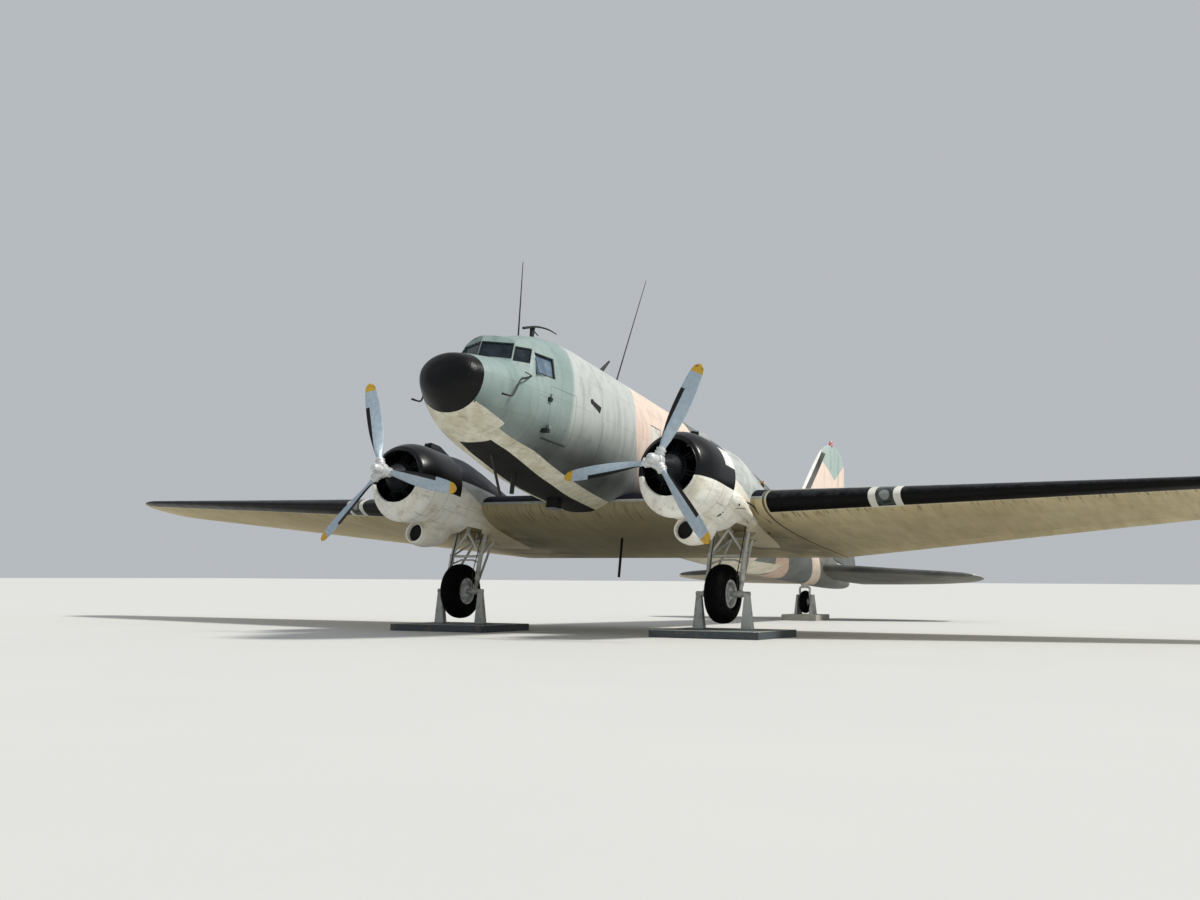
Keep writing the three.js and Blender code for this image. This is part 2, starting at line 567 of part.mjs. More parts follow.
{
  const wing = centreWing(0.6);
  const capSide = (gap) => block(-2000, 2000, -100, CAP_EDGE + gap, -900, 3000);
  const noseOuter = noseBody(0);
  piece("nose_cap", noseOuter.intersect(capSide(-FIT)), "rubber");

  const noseInner = noseBody(WALL);
  let shell = noseOuter.subtract(capSide(0));
  shell = shell.subtract(noseInner);
  for (const { name, corners } of cockpitPanes())
    for (const { side, s } of SIDES) {
      const set = (p) => (s > 0 ? p : mirrorX(p));
      shell = shell.subtract(set(pane(corners, 160, -200, 0)));
      piece(name + "_" + side, set(pane(corners, -20, -34, FIT)), "glass");
    }
  const sections = { nose: shell, cabin: null };

  const cabinOuter = hull(CABIN_STATIONS.map((y) => (y === NOSE_JOINT ? y + FIT : y)), 0);
  const bore = [3300, ...CABIN_STATIONS.slice(1, -1), TAIL_JOINT + 100];
  sections.cabin = cabinOuter.subtract(hull(bore, WALL)).subtract(wing);
  const w = CABIN_WINDOW;
  const windowAt = (k, gap) =>
    block(
      -2000, 2000,
      w.first + k * w.pitch + gap, w.first + k * w.pitch + w.width - gap,
      w.low + gap, w.high - gap,
    );
  for (let k = 0; k < w.count; k++) sections.cabin = sections.cabin.subtract(windowAt(k, 0));
  // The blanks: covers that fill the windows, on a strip along the inside of the wall
  const strip = hull(bore, WALL + FIT).subtract(hull(bore, WALL + 20));
  let blanks = strip.intersect(
    block(0, 2000, w.first - 60, w.first + (w.count - 1) * w.pitch + w.width + 60, w.low - 60, w.high + 60),
  );
  const plug = hull(bore.slice(0, -1), 8).subtract(hull(bore, WALL + 12));
  for (let k = 0; k < w.count; k++)
    blanks = blanks.add(plug.intersect(windowAt(k, FIT)).intersect(block(0, 2000, 0, 12000, 0, 3000)));
  for (const { side, s } of SIDES) piece("window_blanks_" + side, s > 0 ? blanks : mirrorX(blanks), "cream");

  for (const d of DOORS) {
    const whole = d.section === "nose" ? noseOuter : cabinOuter;
    const bored = d.section === "nose" ? noseInner : hull(bore, WALL);
    const leafWall = whole.subtract(bored);
    const frame = d.section === "nose" ? noseBody(LEAF_SKIN) : hull(bore, LEAF_SKIN);
    const edge = d.hinge === "front" ? [d.y1 - LEAF_REBATE, d.y1] : [d.y0, d.y0 + LEAF_REBATE];
    const rebate = frame.intersect(block(0, 2000, ...edge, d.low, d.high));
    let leaf = leafWall.intersect(doorZone(d, SWING_GAP)).subtract(rebate);
    let section = sections[d.section].subtract(doorZone(d, 0));
    for (const z of doorHinge(d).z) {
      const { x, y } = doorHinge(d);
      const room = rod(vec(x, y, z), vec(x, y, z + KNUCKLE.length + 2), 40, 6);
      leaf = leaf.add(knuckle(d, z, "leaf").subtract(bored));
      section = section.subtract(room).add(knuckle(d, z, "frame").subtract(bored));
    }
    sections[d.section] = section;
    piece(d.name, leaf, d.section === "nose" ? "greygreen" : "grey");
  }
  // Aerials and masts that stand on the skin: foot, tip and radii. On the roof of the nose a mast
  // carries two arms that meet in front and spread aft
  const AERIALS = {
    nose: [
      { foot: [0, 2180, 2150], tip: [0, 2075, 3630], r: 16, r2: 6 },
      { foot: [0, 2600, 2300], tip: [0, 2600, 2600], r: 32, r2: 50 },
      ...[-1, 1].flatMap((way) => [
        { foot: [0, 2305, 2480], tip: [70 * way, 2610, 2595], r: 24, r2: 22 },
        { foot: [70 * way, 2610, 2595], tip: [150 * way, 2860, 2622], r: 22, r2: 16 },
        { foot: [150 * way, 2860, 2622], tip: [195 * way, 3110, 2605], r: 16, r2: 9 },
      ]),
      { foot: [0, 1700, 80], tip: [0, 2140, -600], r: 24, r2: 24 },
      { foot: [0, 2480, -60], tip: [0, 2480, -480], r: 40, r2: 40 },
    ],
    cabin: [
      { foot: [0, 5690, 2280], tip: [0, 6610, 4870], r: 16, r2: 6 },
      { foot: [0, 4950, 2300], tip: [0, 5330, 2740], r: 34, r2: 26 },
      { foot: [0, 3900, -240], tip: [0, 3900, -440], r: 150, r2: 140 },
    ],
  };
  for (const [section, rods] of Object.entries(AERIALS))
    for (const { foot, tip, r, r2 } of rods)
      sections[section] = sections[section].add(rod(vec(...foot), vec(...tip), r, 6, r2));
  piece("nose_shell", sections.nose, "greygreen");
  piece("cabin_shell", sections.cabin, "grey");
}

// Inside: floors, bulkhead, seats and panel, seen through the glass and the doors
{
  const cockpitRoom = noseBody(WALL + FIT);
  const cut = (x0, x1, y0, y1, z0, z1) => block(x0, x1, y0, y1, z0, z1).intersect(cockpitRoom);
  const wall = cut(-1500, 1500, 2760, 2790, 305, 3000).subtract(block(-330, 330, 2700, 2850, 340, 2050));
  piece("cockpit_floor", cut(-1500, 1500, 1150, 2770, 300, 335).add(wall), "inside");
  const face = [[1345, 1180], [1400, 1180], [1500, 1540], [1180, 1555], [1180, 1525], [1430, 1510]];
  const panel = prism(face, "x", -900, 900).intersect(cockpitRoom);
  const pedestal = block(-150, 150, 1360, 1900, 335 + FIT, 900);
  const stem = block(-140, 140, 1330, 1420, 800, 1300);
  piece("instrument_panel", join(panel, pedestal, stem), "black");
  for (const { side, s } of SIDES) {
    const x = 430 * s;
    const seat = join(
      block(x - 210, x + 210, 1950, 2380, 690, 780),
      block(x - 200, x + 200, 2350, 2420, 740, 1420),
      block(x - 60, x + 60, 2050, 2300, 335 + FIT, 700),
    );
    piece("crew_seat_" + side, seat, "inside");
  }
  const bench = (s) => {
    const seat = block(560, 1010, 4300, 9900, 700, 740).add(block(560, 600, 4300, 9900, 600, 720));
    const legs = [4350, 5700, 7100, 8500, 9820].map((y) => block(565, 600, y, y + 40, FLOOR_Z, 700));
    const all = join(seat, ...legs);
    return s > 0 ? all : mirrorX(all);
  };
  const room = hull([3300, ...CABIN_STATIONS.slice(1, -1), TAIL_JOINT + 100], WALL + FIT);
  const floorPlate = block(-1500, 1500, 3480, 13300, FLOOR_Z - 40, FLOOR_Z).intersect(room);
  piece("cabin_floor", join(floorPlate, bench(1), bench(-1)), "inside");
}

// Tail
{
  // A flat surface of given outline, thick in the middle and thin at its edges: stations across its
  // span, each with leading edge, trailing edge and thickness
  const surface = (rows, point) =>
    loft(
      rows.map(({ u, front, back, thick }) => {
        const ring = [0, 0.06, 0.2, 0.42, 0.7, 1];
        const half = [0, 0.55, 0.92, 1, 0.62, 0.06];
        const face = (way) =>
          ring.map((f, i) => point(u, front + (back - front) * f, (way * half[i] * thick) / 2));
        return [...face(1), ...face(-1).slice(1).reverse()];
      }),
    );
  const FIN = [
    { u: 900, front: 14000, back: 17900, thick: 150 },
    { u: 1190, front: 14000, back: 19330, thick: 190 },
    { u: 1320, front: 14050, back: 19425, thick: 200 },
    { u: 1560, front: 14150, back: 19290, thick: 210 },
    { u: 1760, front: 14650, back: 19140, thick: 225 },
    { u: 2120, front: 15120, back: 18890, thick: 225 },
    { u: 2620, front: 15500, back: 18560, thick: 205 },
    { u: 3200, front: 15960, back: 18300, thick: 170 },
    { u: 3660, front: 16380, back: 18190, thick: 130 },
    { u: 3920, front: 16700, back: 18010, thick: 90 },
    { u: 4040, front: 17000, back: 17760, thick: 60 },
    { u: 4075, front: 17200, back: 17560, thick: 30 },
  ];
  const blade = surface(FIN, (u, y, t) => vec(t, y, u));
  const low = at(FUSELAGE, "crown", HINGE_RUDDER_Y) + 45;
  const footRoom = [
    [HINGE_RUDDER_Y - 300, 800],
    [20000, 800],
    [20000, 1010],
    [18900, 1010],
    [HINGE_RUDDER_Y - 80, low],
    [HINGE_RUDDER_Y - 300, low],
  ];
  const rudderFoot = prism(footRoom, "x", -600, 600);
  const whole = blade.subtract(rudderFoot);
  const yaw = hinged(whole, {
    a: vec(0, HINGE_RUDDER_Y, low + 10),
    b: vec(0, HINGE_RUDDER_Y, 3880),
    r0: 88,
    r1: 34,
    depth: 2200,
    pin: RUDDER_PIN_R,
    pinLength: 60,
  });
  const shaft = hull(TAIL_STATIONS, -0.5);
  const beacon = rod(vec(0, 17180, 4000), vec(0, 17180, 4190), 55, 8, 45);
  const behind = block(-200, 200, HINGE_RUDDER_Y - 130, 20000, 0, low + 16);
  piece("fin", yaw.fixed.add(beacon).subtract(shaft).subtract(behind), "grey");
  piece("rudder", yaw.moving, "greygreen");

  const PLANE = [
    { u: 0, front: 15560, back: 18330, thick: 250 },
    { u: 300, front: 15640, back: 18330, thick: 250 },
    { u: 1500, front: 16020, back: 18320, thick: 215 },
    { u: 2700, front: 16410, back: 18210, thick: 175 },
    { u: 3400, front: 16650, back: 18010, thick: 155 },
    { u: 3750, front: 16800, back: 17820, thick: 124 },
    { u: 3950, front: 16960, back: 17620, thick: 85 },
    { u: STABILISER_TIP_X, front: 17150, back: 17420, thick: 40 },
  ];
  const half = surface(PLANE, (u, y, t) => vec(u, y, STABILISER_Z + t));
  const pitch = hinged(half, {
    a: vec(ELEVATOR_ROOT_X, HINGE_ELEVATOR_Y, STABILISER_Z),
    b: vec(3560, HINGE_ELEVATOR_Y, STABILISER_Z),
    r0: 98,
    r1: 72,
    depth: 1400,
    pin: ELEVATOR_PIN_R,
    pinLength: 70,
  });
  // Room for the rudder between the elevators, opening aft
  const root = ELEVATOR_ROOT_X;
  const sweepPlan = [[-10, 17150], [root - 1, 17150], [root - 1, 17450], [730, 18500], [-10, 18500]];
  const sweepRoom = prism(sweepPlan, "z", 0, 2000);
  const stub = block(-10, root + 1, HINGE_ELEVATOR_Y - 25, HINGE_ELEVATOR_Y + 25, 0, 2000);
  const elevator = pitch.moving.subtract(sweepRoom.subtract(stub));
  const fixedHalf = pitch.fixed.subtract(block(-10, root + 2, HINGE_ELEVATOR_Y - 100, 19000, 0, 2000));
  const onHinge = (x) => vec(x, HINGE_ELEVATOR_Y, STABILISER_Z);
  const pinHole = rod(onHinge(150), onHinge(400), ELEVATOR_PIN_R + PIN_GAP, 16);
  const both = fixedHalf.add(mirrorX(fixedHalf));
  piece("stabiliser", both.subtract(pinHole).subtract(mirrorX(pinHole)), "grey");
  // Room for the stabiliser through the tail cone
  const rootRows = PLANE.slice(0, 3).map((r) => ({ ...r, front: r.front - 6, thick: r.thick + 6 }));
  const carry = surface(rootRows, (u, y, t) => vec(u, y, STABILISER_Z + t)).intersect(
    block(-10, 2000, 15000, HINGE_ELEVATOR_Y - 99, 0, 2000),
  );
  for (const { side, s } of SIDES) piece("elevator_" + side, s > 0 ? elevator : mirrorX(elevator), "grey");

  let cone = hull(TAIL_STATIONS.map((y) => (y === TAIL_JOINT ? y + FIT : y)), 0);
  cone = cone.subtract(carry).subtract(mirrorX(carry)).subtract(pinHole).subtract(mirrorX(pinHole));
  const [foot, head] = [900, 1500].map((z) => vec(0, HINGE_RUDDER_Y, z));
  cone = cone.subtract(rod(foot, head, RUDDER_PIN_R + PIN_GAP, 16));
  piece("tail_cone", cone, "grey");
}

// Engines, cowls, nacelles and propellers
{
  const hub = vec(ENGINE_X, PROP_Y, 0);
  const cowlRing = ({ y, r, chin }, grow = 0) =>
    Array.from({ length: COWL_SEGMENTS }, (_, k) => {
      const t = (2 * Math.PI * k) / COWL_SEGMENTS;
      const reach = r + grow + chin * Math.min(0, Math.sin(t)) ** 2;
      return vec(ENGINE_X + reach * Math.cos(t), y, reach * Math.sin(t));
    });
  const cowl = loft(COWL.outside.map((row) => cowlRing(row))).subtract(
    loft(COWL.inside.map((row) => cowlRing(row))),
  );
  const tie = COWL.inside[5]; // where the engine's ring meets the cowl
  const ENGINE = { rows: [3170, 3400], inner: 220, outer: 610, barrel: 82 };
  const engine = () => {
    let sum = turned(
      [
        [0, PROP_Y + 125],
        [62, PROP_Y + 125],
        [150, 2700],
        [285, 3060],
        [300, 3500],
        [420, 3640],
        [420, FIREWALL - FIT],
        [0, FIREWALL - FIT],
      ],
      12, vec(ENGINE_X, 0, 0),
    );
    ENGINE.rows.forEach((y, row) => {
      for (let k = 0; k < 7; k++) {
        const t = ((k + row / 2) * 2 * Math.PI) / 7;
        const out = vec(Math.sin(t), 0, Math.cos(t));
        const base = vec(ENGINE_X, y, 0);
        const p = (r) => base.clone().addScaledVector(out, r);
        sum = sum.add(rod(p(ENGINE.inner), p(ENGINE.outer), ENGINE.barrel, 6));
      }
    });
    // Ring that ties the cylinder heads to the cowl
    const ring = [
      [ENGINE.outer - 30, tie.y - 80],
      [tie.r - FIT, tie.y],
      [ENGINE.outer - 30, tie.y],
      [ENGINE.outer - 30, tie.y - 80],
    ];
    return sum.add(turned(ring, COWL_SEGMENTS, vec(ENGINE_X, 0, 0)));
  };

  // Nacelle stations: distance aft, half width, underside and top. Its section is a little squarer
  // than an ellipse
  const NACELLE = [
    { y: FIREWALL, half: 640, low: -640, top: 640 },
    { y: 3990, half: 652, low: -655, top: 652 },
    { y: 4090, half: 682, low: -690, top: 700 },
    { y: 4500, half: 684, low: -735, top: 722 },
    { y: 5000, half: 640, low: -740, top: 660 },
    { y: 5300, half: 600, low: -740, top: 612 },
    { y: 6000, half: 480, low: -690, top: 480 },
    { y: 6800, half: 340, low: -600, top: 330 },
    { y: 7500, half: 180, low: -480, top: 190 },
    { y: 7900, half: 60, low: -400, top: 30 },
  ];
  const NACELLE_POWER = 2 / 2.3;
  const nacelleRing = (y) => {
    const [low, top, half] = ["low", "top", "half"].map((c) => at(NACELLE, c, y));
    return Array.from({ length: 20 }, (_, k) => {
      const t = (2 * Math.PI * k) / 20;
      const [c, s] = [Math.cos(t), Math.sin(t)].map((v) => Math.sign(v) * Math.abs(v) ** NACELLE_POWER);
      return vec(ENGINE_X + half * c, y, (low + top) / 2 + ((top - low) / 2) * s);
    });
  };
  const bay = join(...BAY.map((b) => block(ENGINE_X - b.half, ENGINE_X + b.half, b.y0, b.y1, -1200, -300)));
  // Carburettor air scoop: from over the back of the cowl down onto the nacelle's top
  const SCOOP = [
    { y: 3720, low: 738, top: 850, half: 98 },
    { y: COWL_BACK + 8, low: 738, top: 852, half: 104 },
    { y: 4030, low: 500, top: 842, half: 104 },
    { y: 4480, low: 450, top: 700, half: 90 },
  ];
  const scoop = loft(
    SCOOP.map(({ y, low, top, half }) => {
      const corners = [[-half, low], [half, low], [half * 0.8, top], [-half * 0.8, top]];
      return corners.map(([x, z]) => vec(ENGINE_X + x, y, z));
    }),
  );
  const nacelle = loft(NACELLE.map((r) => nacelleRing(r.y)))
    .add(scoop)
    .subtract(centreWing(0.5))
    .subtract(bay);
  // Exhaust outboard: housing at the firewall, then its pipe down and aft
  const PIPE = [
    { x: 3390, y: 3990, z: -250, r: 110 },
    { x: 3420, y: 4080, z: -275, r: 150 },
    { x: 3430, y: 4450, z: -330, r: 140 },
    { x: 3440, y: 4640, z: -385, r: 105 },
    { x: 3450, y: 5050, z: -500, r: 62 },
  ];
  const pipe = loft(PIPE.map((p) => ringAt(vec(p.x, p.y, p.z), vec(1, 0, 0), vec(0, 0, 1), p.r, p.r, 10)));
  // Oil cooler duct under the nacelle, its mouth forward: level of the mouth's line, radius below
  // it, and height and width of the part above, which is faired into the cowl and the nacelle
  const COOLER = [
    { y: 3600, z: -910, r: 192, up: 192, wide: 192 },
    { y: 3660, z: -910, r: 212, up: 212, wide: 212 },
    { y: 3780, z: -905, r: 228, up: 380, wide: 300 },
    { y: 4000, z: -880, r: 235, up: 450, wide: 430 },
    { y: 4400, z: -800, r: 195, up: 400, wide: 380 },
    { y: 4640, z: -700, r: 110, up: 220, wide: 200 },
  ];
  const COOLER_MOUTH = { y0: 3500, y1: 3720, z: -908, r: 165 };
  const duct = loft(
    COOLER.map(({ y, z, r, up, wide }) =>
      Array.from({ length: 14 }, (_, k) => {
        const t = (2 * Math.PI * k) / 14;
        const [c, s] = [Math.cos(t), Math.sin(t)];
        return vec(ENGINE_X + c * (r + (wide - r) * Math.max(0, s)), y, z + s * (s > 0 ? up : r));
      }),
    ),
  );
  const { y0, y1, ...mouth } = COOLER_MOUTH;
  const bore = rod(vec(ENGINE_X, y0, mouth.z), vec(ENGINE_X, y1, mouth.z), mouth.r, 14);
  const grown = loft(
    NACELLE.map((r) => nacelleRing(r.y).map((p) => p.clone().lerp(vec(ENGINE_X, p.y, -50), -0.0008))),
  );
  const cowlFilled = loft([
    ...COWL.outside.map((row) => cowlRing(row, 2 * FIT)),
    cowlRing({ ...COWL.outside.at(-1), y: COWL_BACK + 2 * FIT }, 2 * FIT),
  ]);
  const cooler = duct.subtract(bore).subtract(grown).subtract(cowlFilled);

  // A blade: sections across its length from the hub, as radius, chord, thickness and pitch angle
  const BLADE = [
    { r: 200, chord: 100, thick: 92, angle: 45 },
    { r: 450, chord: 190, thick: 58, angle: 38 },
    { r: 750, chord: 262, thick: 38, angle: 31 },
    { r: 1100, chord: 280, thick: 26, angle: 24 },
    { r: 1450, chord: 250, thick: 17, angle: 19 },
    { r: 1690, chord: 175, thick: 12, angle: 17 },
    { r: BLADE_TIP, chord: 50, thick: 6, angle: 16 },
  ];
  // Turned clockwise from upright as the pilot sees it; the leading edge goes that way round
  const bladeAt = (deg) => {
    const t = rad(deg);
    const out = vec(Math.sin(t), 0, Math.cos(t));
    const way = vec(-Math.cos(t), 0, Math.sin(t));
    return loft(
      BLADE.map(({ r, chord, thick, angle }) => {
        const a = rad(angle);
        const edge = way.clone().multiplyScalar(Math.cos(a)).addScaledVector(vec(0, -1, 0), Math.sin(a));
        const face = vec(0, 1, 0).multiplyScalar(Math.cos(a)).addScaledVector(way, Math.sin(a));
        const centre = hub.clone().addScaledVector(out, r);
        return ringAt(centre, edge, face, chord / 2, thick / 2, 8);
      }),
    );
  };
  const propeller = (start) => {
    const boss = turned(
      [
        [0, PROP_Y - 260],
        [45, PROP_Y - 250],
        [85, PROP_Y - 195],
        [92, PROP_Y - 80],
        [132, PROP_Y - 62],
        [140, PROP_Y + 40],
        [80, PROP_Y + 124.5],
        [0, PROP_Y + 124.5],
      ],
      12, vec(ENGINE_X, 0, 0),
    );
    let sum = boss;
    for (const k of [0, 120, 240]) {
      const t = rad(start + k);
      const out = vec(Math.sin(t), 0, Math.cos(t));
      sum = sum.add(bladeAt(start + k));
      const [root, end] = [60, 235].map((r) => hub.clone().addScaledVector(out, r));
      sum = sum.add(rod(root, end, 82, 8, 66));
    }
    return sum;
  };
  const BLADES_AT = { port: 22.4, starboard: 17.2 };
  for (const { side, s } of SIDES) {
    const set = (p) => (s > 0 ? p : mirrorX(p));
    const shift = (p) => (s > 0 ? p : p.translate([-2 * ENGINE_X, 0, 0]));
    piece("cowl_" + side, set(cowl), "black");
    piece("engine_" + side, set(engine()), "engine");
    piece("nacelle_" + side, set(nacelle), "cream");
    piece("exhaust_" + side, set(pipe.subtract(grown).subtract(centreWing(0.6))), "cream");
    piece("oil_cooler_" + side, set(cooler), "cream");
    piece("propeller_" + side, shift(propeller(s > 0 ? BLADES_AT.port : -BLADES_AT.starboard)), "silver");
  }
}

// Main gear, one wheel on two legs under each nacelle
{
  const w = WHEEL;
  const hubFace = w.width / 2 - 45;
  const tyreProfile = [
    [w.rim, -0.36],
    [w.rim + 90, -0.5],
    [w.radius - 95, -0.46],
    [w.radius, -0.12],
    [w.radius, 0.12],
    [w.radius - 95, 0.46],
    [w.rim + 90, 0.5],
    [w.rim, 0.36],
    [w.rim, -0.36],
  ].map(([r, share]) => [r, share * w.width]);
  const rim = w.rim - FIT;
  const bore = AXLE_R + 1;
  const hubProfile = [
    [bore, -hubFace],
    [110, -hubFace],
    [150, -hubFace + 70],
    [rim, -hubFace + 30],
    [rim, hubFace - 30],
    [150, hubFace - 70],
    [110, hubFace],
    [bore, hubFace],
    [bore, -hubFace],
  ];
  const centre = vec(ENGINE_X, w.y, w.z);
  const at3 = (dx, y, z) => vec(ENGINE_X + dx, y, z);
  const tube = (a, b, r, sides = 6) => rod(at3(...a), at3(...b), r, sides);
  const wingUnder = (y) => underside(ENGINE_X, y).z - FLAP_HINGE_IN;
  const COLLAR = { y: 5395, z: -1030 };
  const APEX = { y: 5370, z: -560 };
  const REAR = { x: 205, y: 5975, z: -600 };
  let gear = tube([-AXLE_END, w.y, w.z], [AXLE_END, w.y, w.z], AXLE_R, 10);
  for (const dx of [-LEG_X, LEG_X]) {
    const out = Math.sign(dx);
    gear = join(
      gear,
      tube([dx - 45, w.y, w.z], [dx + 45, w.y, w.z], 62, 10),
      tube([dx, w.y, w.z], [dx, COLLAR.y, COLLAR.z], 34),
      tube([dx, w.y + 22, w.z + 230], [dx, COLLAR.y + 4, COLLAR.z + 40], 50),
      tube([dx, COLLAR.y, COLLAR.z], [dx, 5530, wingUnder(5530) + 40], 36),
      tube([dx, COLLAR.y, COLLAR.z + 30], [0, APEX.y, APEX.z], 26, 6),
      tube([dx, w.y + 20, w.z + 60], [out * REAR.x, REAR.y, REAR.z], 28, 6),
      tube([dx, COLLAR.y, COLLAR.z], [out * REAR.x, REAR.y, REAR.z], 22, 6),
      tube([out * REAR.x, REAR.y, REAR.z - 20], [out * REAR.x, REAR.y + 10, wingUnder(REAR.y) + 40], 30),
      tube([dx, w.y + 110, w.z + 560], [dx - out * 190, COLLAR.y + 40, COLLAR.z - 70], 18, 5),
    );
  }
  gear = join(
    gear,
    tube([-LEG_X, COLLAR.y, COLLAR.z], [LEG_X, COLLAR.y, COLLAR.z], 26, 6),
    tube([-150, COLLAR.y + 40, COLLAR.z - 66], [150, COLLAR.y + 40, COLLAR.z - 66], 18, 6),
    tube([0, APEX.y, APEX.z - 30], [0, APEX.y + 10, wingUnder(APEX.y) + 40], 45),
    tube([-REAR.x, REAR.y, REAR.z], [REAR.x, REAR.y, REAR.z], 24, 6),
  );
  gear = gear.subtract(centreWing(0.4));
  const tyre = turned(tyreProfile, WHEEL_SEGMENTS, centre, "x");
  const hub = turned(hubProfile, WHEEL_SEGMENTS, centre, "x");
  for (const { side, s } of SIDES) {
    const set = (p) => (s > 0 ? p : mirrorX(p));
    piece("main_gear_" + side, set(gear), "grey");
    piece("main_tyre_" + side, set(tyre), "rubber");
    piece("main_hub_" + side, set(hub), "silver");
  }
}

// Tail wheel in its fork
{
  const w = TAIL_WHEEL;
  const face = w.width / 2 - 20;
  const tyre = [
    [w.rim, -0.4],
    [w.rim + 60, -0.5],
    [w.radius - 30, -0.36],
    [w.radius, -0.1],
    [w.radius, 0.1],
    [w.radius - 30, 0.36],
    [w.rim + 60, 0.5],
    [w.rim, 0.4],
    [w.rim, -0.4],
  ].map(([r, share]) => [r, share * w.width]);
  const axle = TAIL_AXLE_R;
  const bore = axle + PIN_GAP;
  const rim = w.rim - FIT;
  const hub = [
    [bore, -face],
    [60, -face],
    [w.rim - 25, -face + 35],
    [rim, -face + 25],
    [rim, face - 25],
    [w.rim - 25, face - 35],
    [60, face],
    [bore, face],
    [bore, -face],
  ];
  piece("tail_tyre", turned(tyre, 16, vec(0, w.y, w.z), "x"), "rubber");
  piece("tail_hub", turned(hub, 16, vec(0, w.y, w.z), "x"), "silver");
  const crown = { y: w.y - 90, z: w.z + w.radius + 60 };
  const legX = w.width / 2 + 32;
  let fork = rod(vec(-legX - 75, w.y, w.z), vec(legX + 75, w.y, w.z), axle, 12);
  for (const x of [-legX, legX])
    fork = join(
      fork,
      rod(vec(x - 16, w.y, w.z), vec(x + 16, w.y, w.z), 46, 8),
      rod(vec(x, w.y, w.z), vec(x * 0.95, crown.y, crown.z), 24, 6),
      rod(vec(x * 0.95, crown.y, crown.z), vec(0, crown.y - 10, crown.z + 40), 30, 6),
    );
  fork = join(
    fork,
    rod(vec(0, crown.y - 8, crown.z - 10), vec(0, crown.y - 40, crown.z + 330), 60, 10),
    rod(vec(0, crown.y - 10, crown.z + 30), vec(0, crown.y - 560, crown.z + 120), 36, 6),
  );
  piece("tail_gear", fork.subtract(hull(TAIL_STATIONS, -0.5)), "grey");
}

// Stands: slabs on the ground with tapered pedestals, notched to take the ends of the axles
{
  const SLAB = { width: 2100, depth: 1700 };
  const TAIL_PLINTH = 145;
  const PEDESTAL = { x: 470, base: [105, 62], top: [48, 34], above: 14 };
  plane.updateMatrix();
  const onGround = (shape) => shape.transform([...plane.matrix.elements]);
  const taper = (x, y, z0, z1, base, top) =>
    loft(
      [[z0, base], [z1, top]].map(([z, [dx, dy]]) => [
        vec(x - dx, y - dy, z),
        vec(x + dx, y - dy, z),
        vec(x + dx, y + dy, z),
        vec(x - dx, y + dy, z),
      ]),
    );
  const axle = parked(WHEEL.y, WHEEL.z);
  for (const { side, s } of SIDES) {
    const x = ENGINE_X * s;
    const [w, d] = [SLAB.width / 2, SLAB.depth / 2];
    let stand = block(x - w, x + w, axle.y - d, axle.y + d, 0, SLAB_TOP);
    const { base, top, above } = PEDESTAL;
    for (const dx of [-PEDESTAL.x, PEDESTAL.x])
      stand = stand.add(taper(x + dx, axle.y, SLAB_TOP - 2, axle.z - above, base, top));
    const [from, to] = [x - 1000, x + 1000].map((end) => vec(end, WHEEL.y, WHEEL.z));
    stand = stand.subtract(onGround(rod(from, to, AXLE_R + FIT, 10)));
    piece("stand_" + side, stand, "slab", ground);
  }
  const tail = parked(TAIL_WHEEL.y, TAIL_WHEEL.z);
  const plateX = TAIL_WHEEL.width / 2 + 97;
  let stand = block(-450, 450, tail.y - 450, tail.y + 450, 0, TAIL_PLINTH);
  for (const s of [-1, 1])
    stand = stand.add(taper(s * plateX, tail.y, TAIL_PLINTH - 2, tail.z + 180, [34, 190], [20, 70]));
  const [from, to] = [-400, 400].map((x) => vec(x, TAIL_WHEEL.y, TAIL_WHEEL.z));
  stand = stand.subtract(onGround(rod(from, to, TAIL_AXLE_R + FIT, 12)));
  piece("stand_tail", stand, "slab", ground);
}

// The origin lies below the middle of the whole
ground.updateMatrixWorld(true);
const extent = new THREE.Box3().setFromObject(ground, true);
const middle = (extent.min.y + extent.max.y) / 2;
const whole = new THREE.Group();
ground.position.y = -middle;
whole.add(ground);

export default whole;
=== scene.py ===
"""A military transport plane on its museum stands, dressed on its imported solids.

Shapes are worked out level, in millimetres: x to port, y aft from the nose tip, z up from the line
of thrust. A finished piece is then parked: pitched nose up, lifted and centred, in metres.
"""

import math

import bmesh
import bpy
import numpy as np
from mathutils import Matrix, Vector


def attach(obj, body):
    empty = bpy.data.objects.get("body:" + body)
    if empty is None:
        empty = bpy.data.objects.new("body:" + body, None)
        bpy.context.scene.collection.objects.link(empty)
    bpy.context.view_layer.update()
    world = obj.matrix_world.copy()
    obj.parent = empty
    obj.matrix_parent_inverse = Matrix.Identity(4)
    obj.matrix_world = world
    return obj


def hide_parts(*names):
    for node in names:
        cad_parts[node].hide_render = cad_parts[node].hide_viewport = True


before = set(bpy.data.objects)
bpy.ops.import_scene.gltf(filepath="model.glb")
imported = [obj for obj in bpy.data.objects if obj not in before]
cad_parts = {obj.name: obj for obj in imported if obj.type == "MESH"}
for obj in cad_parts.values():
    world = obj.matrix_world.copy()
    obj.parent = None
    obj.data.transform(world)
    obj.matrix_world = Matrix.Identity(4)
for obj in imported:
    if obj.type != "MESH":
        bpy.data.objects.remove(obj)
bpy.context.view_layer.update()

# Camera: a phone held just above the grass, ahead of the port wing, looking a little upwards.
camera = bpy.data.objects.new("camera", bpy.data.cameras.new("camera"))
camera.location = (14.706, -30.3987, 1.097)
camera.rotation_euler = [math.radians(turn) for turn in (94.525, -0.255, 29.367)]
camera.data.sensor_width = 36
camera.data.lens = 47.23
camera.data.clip_end = 400
bpy.context.scene.collection.objects.link(camera)
bpy.context.scene.camera = camera


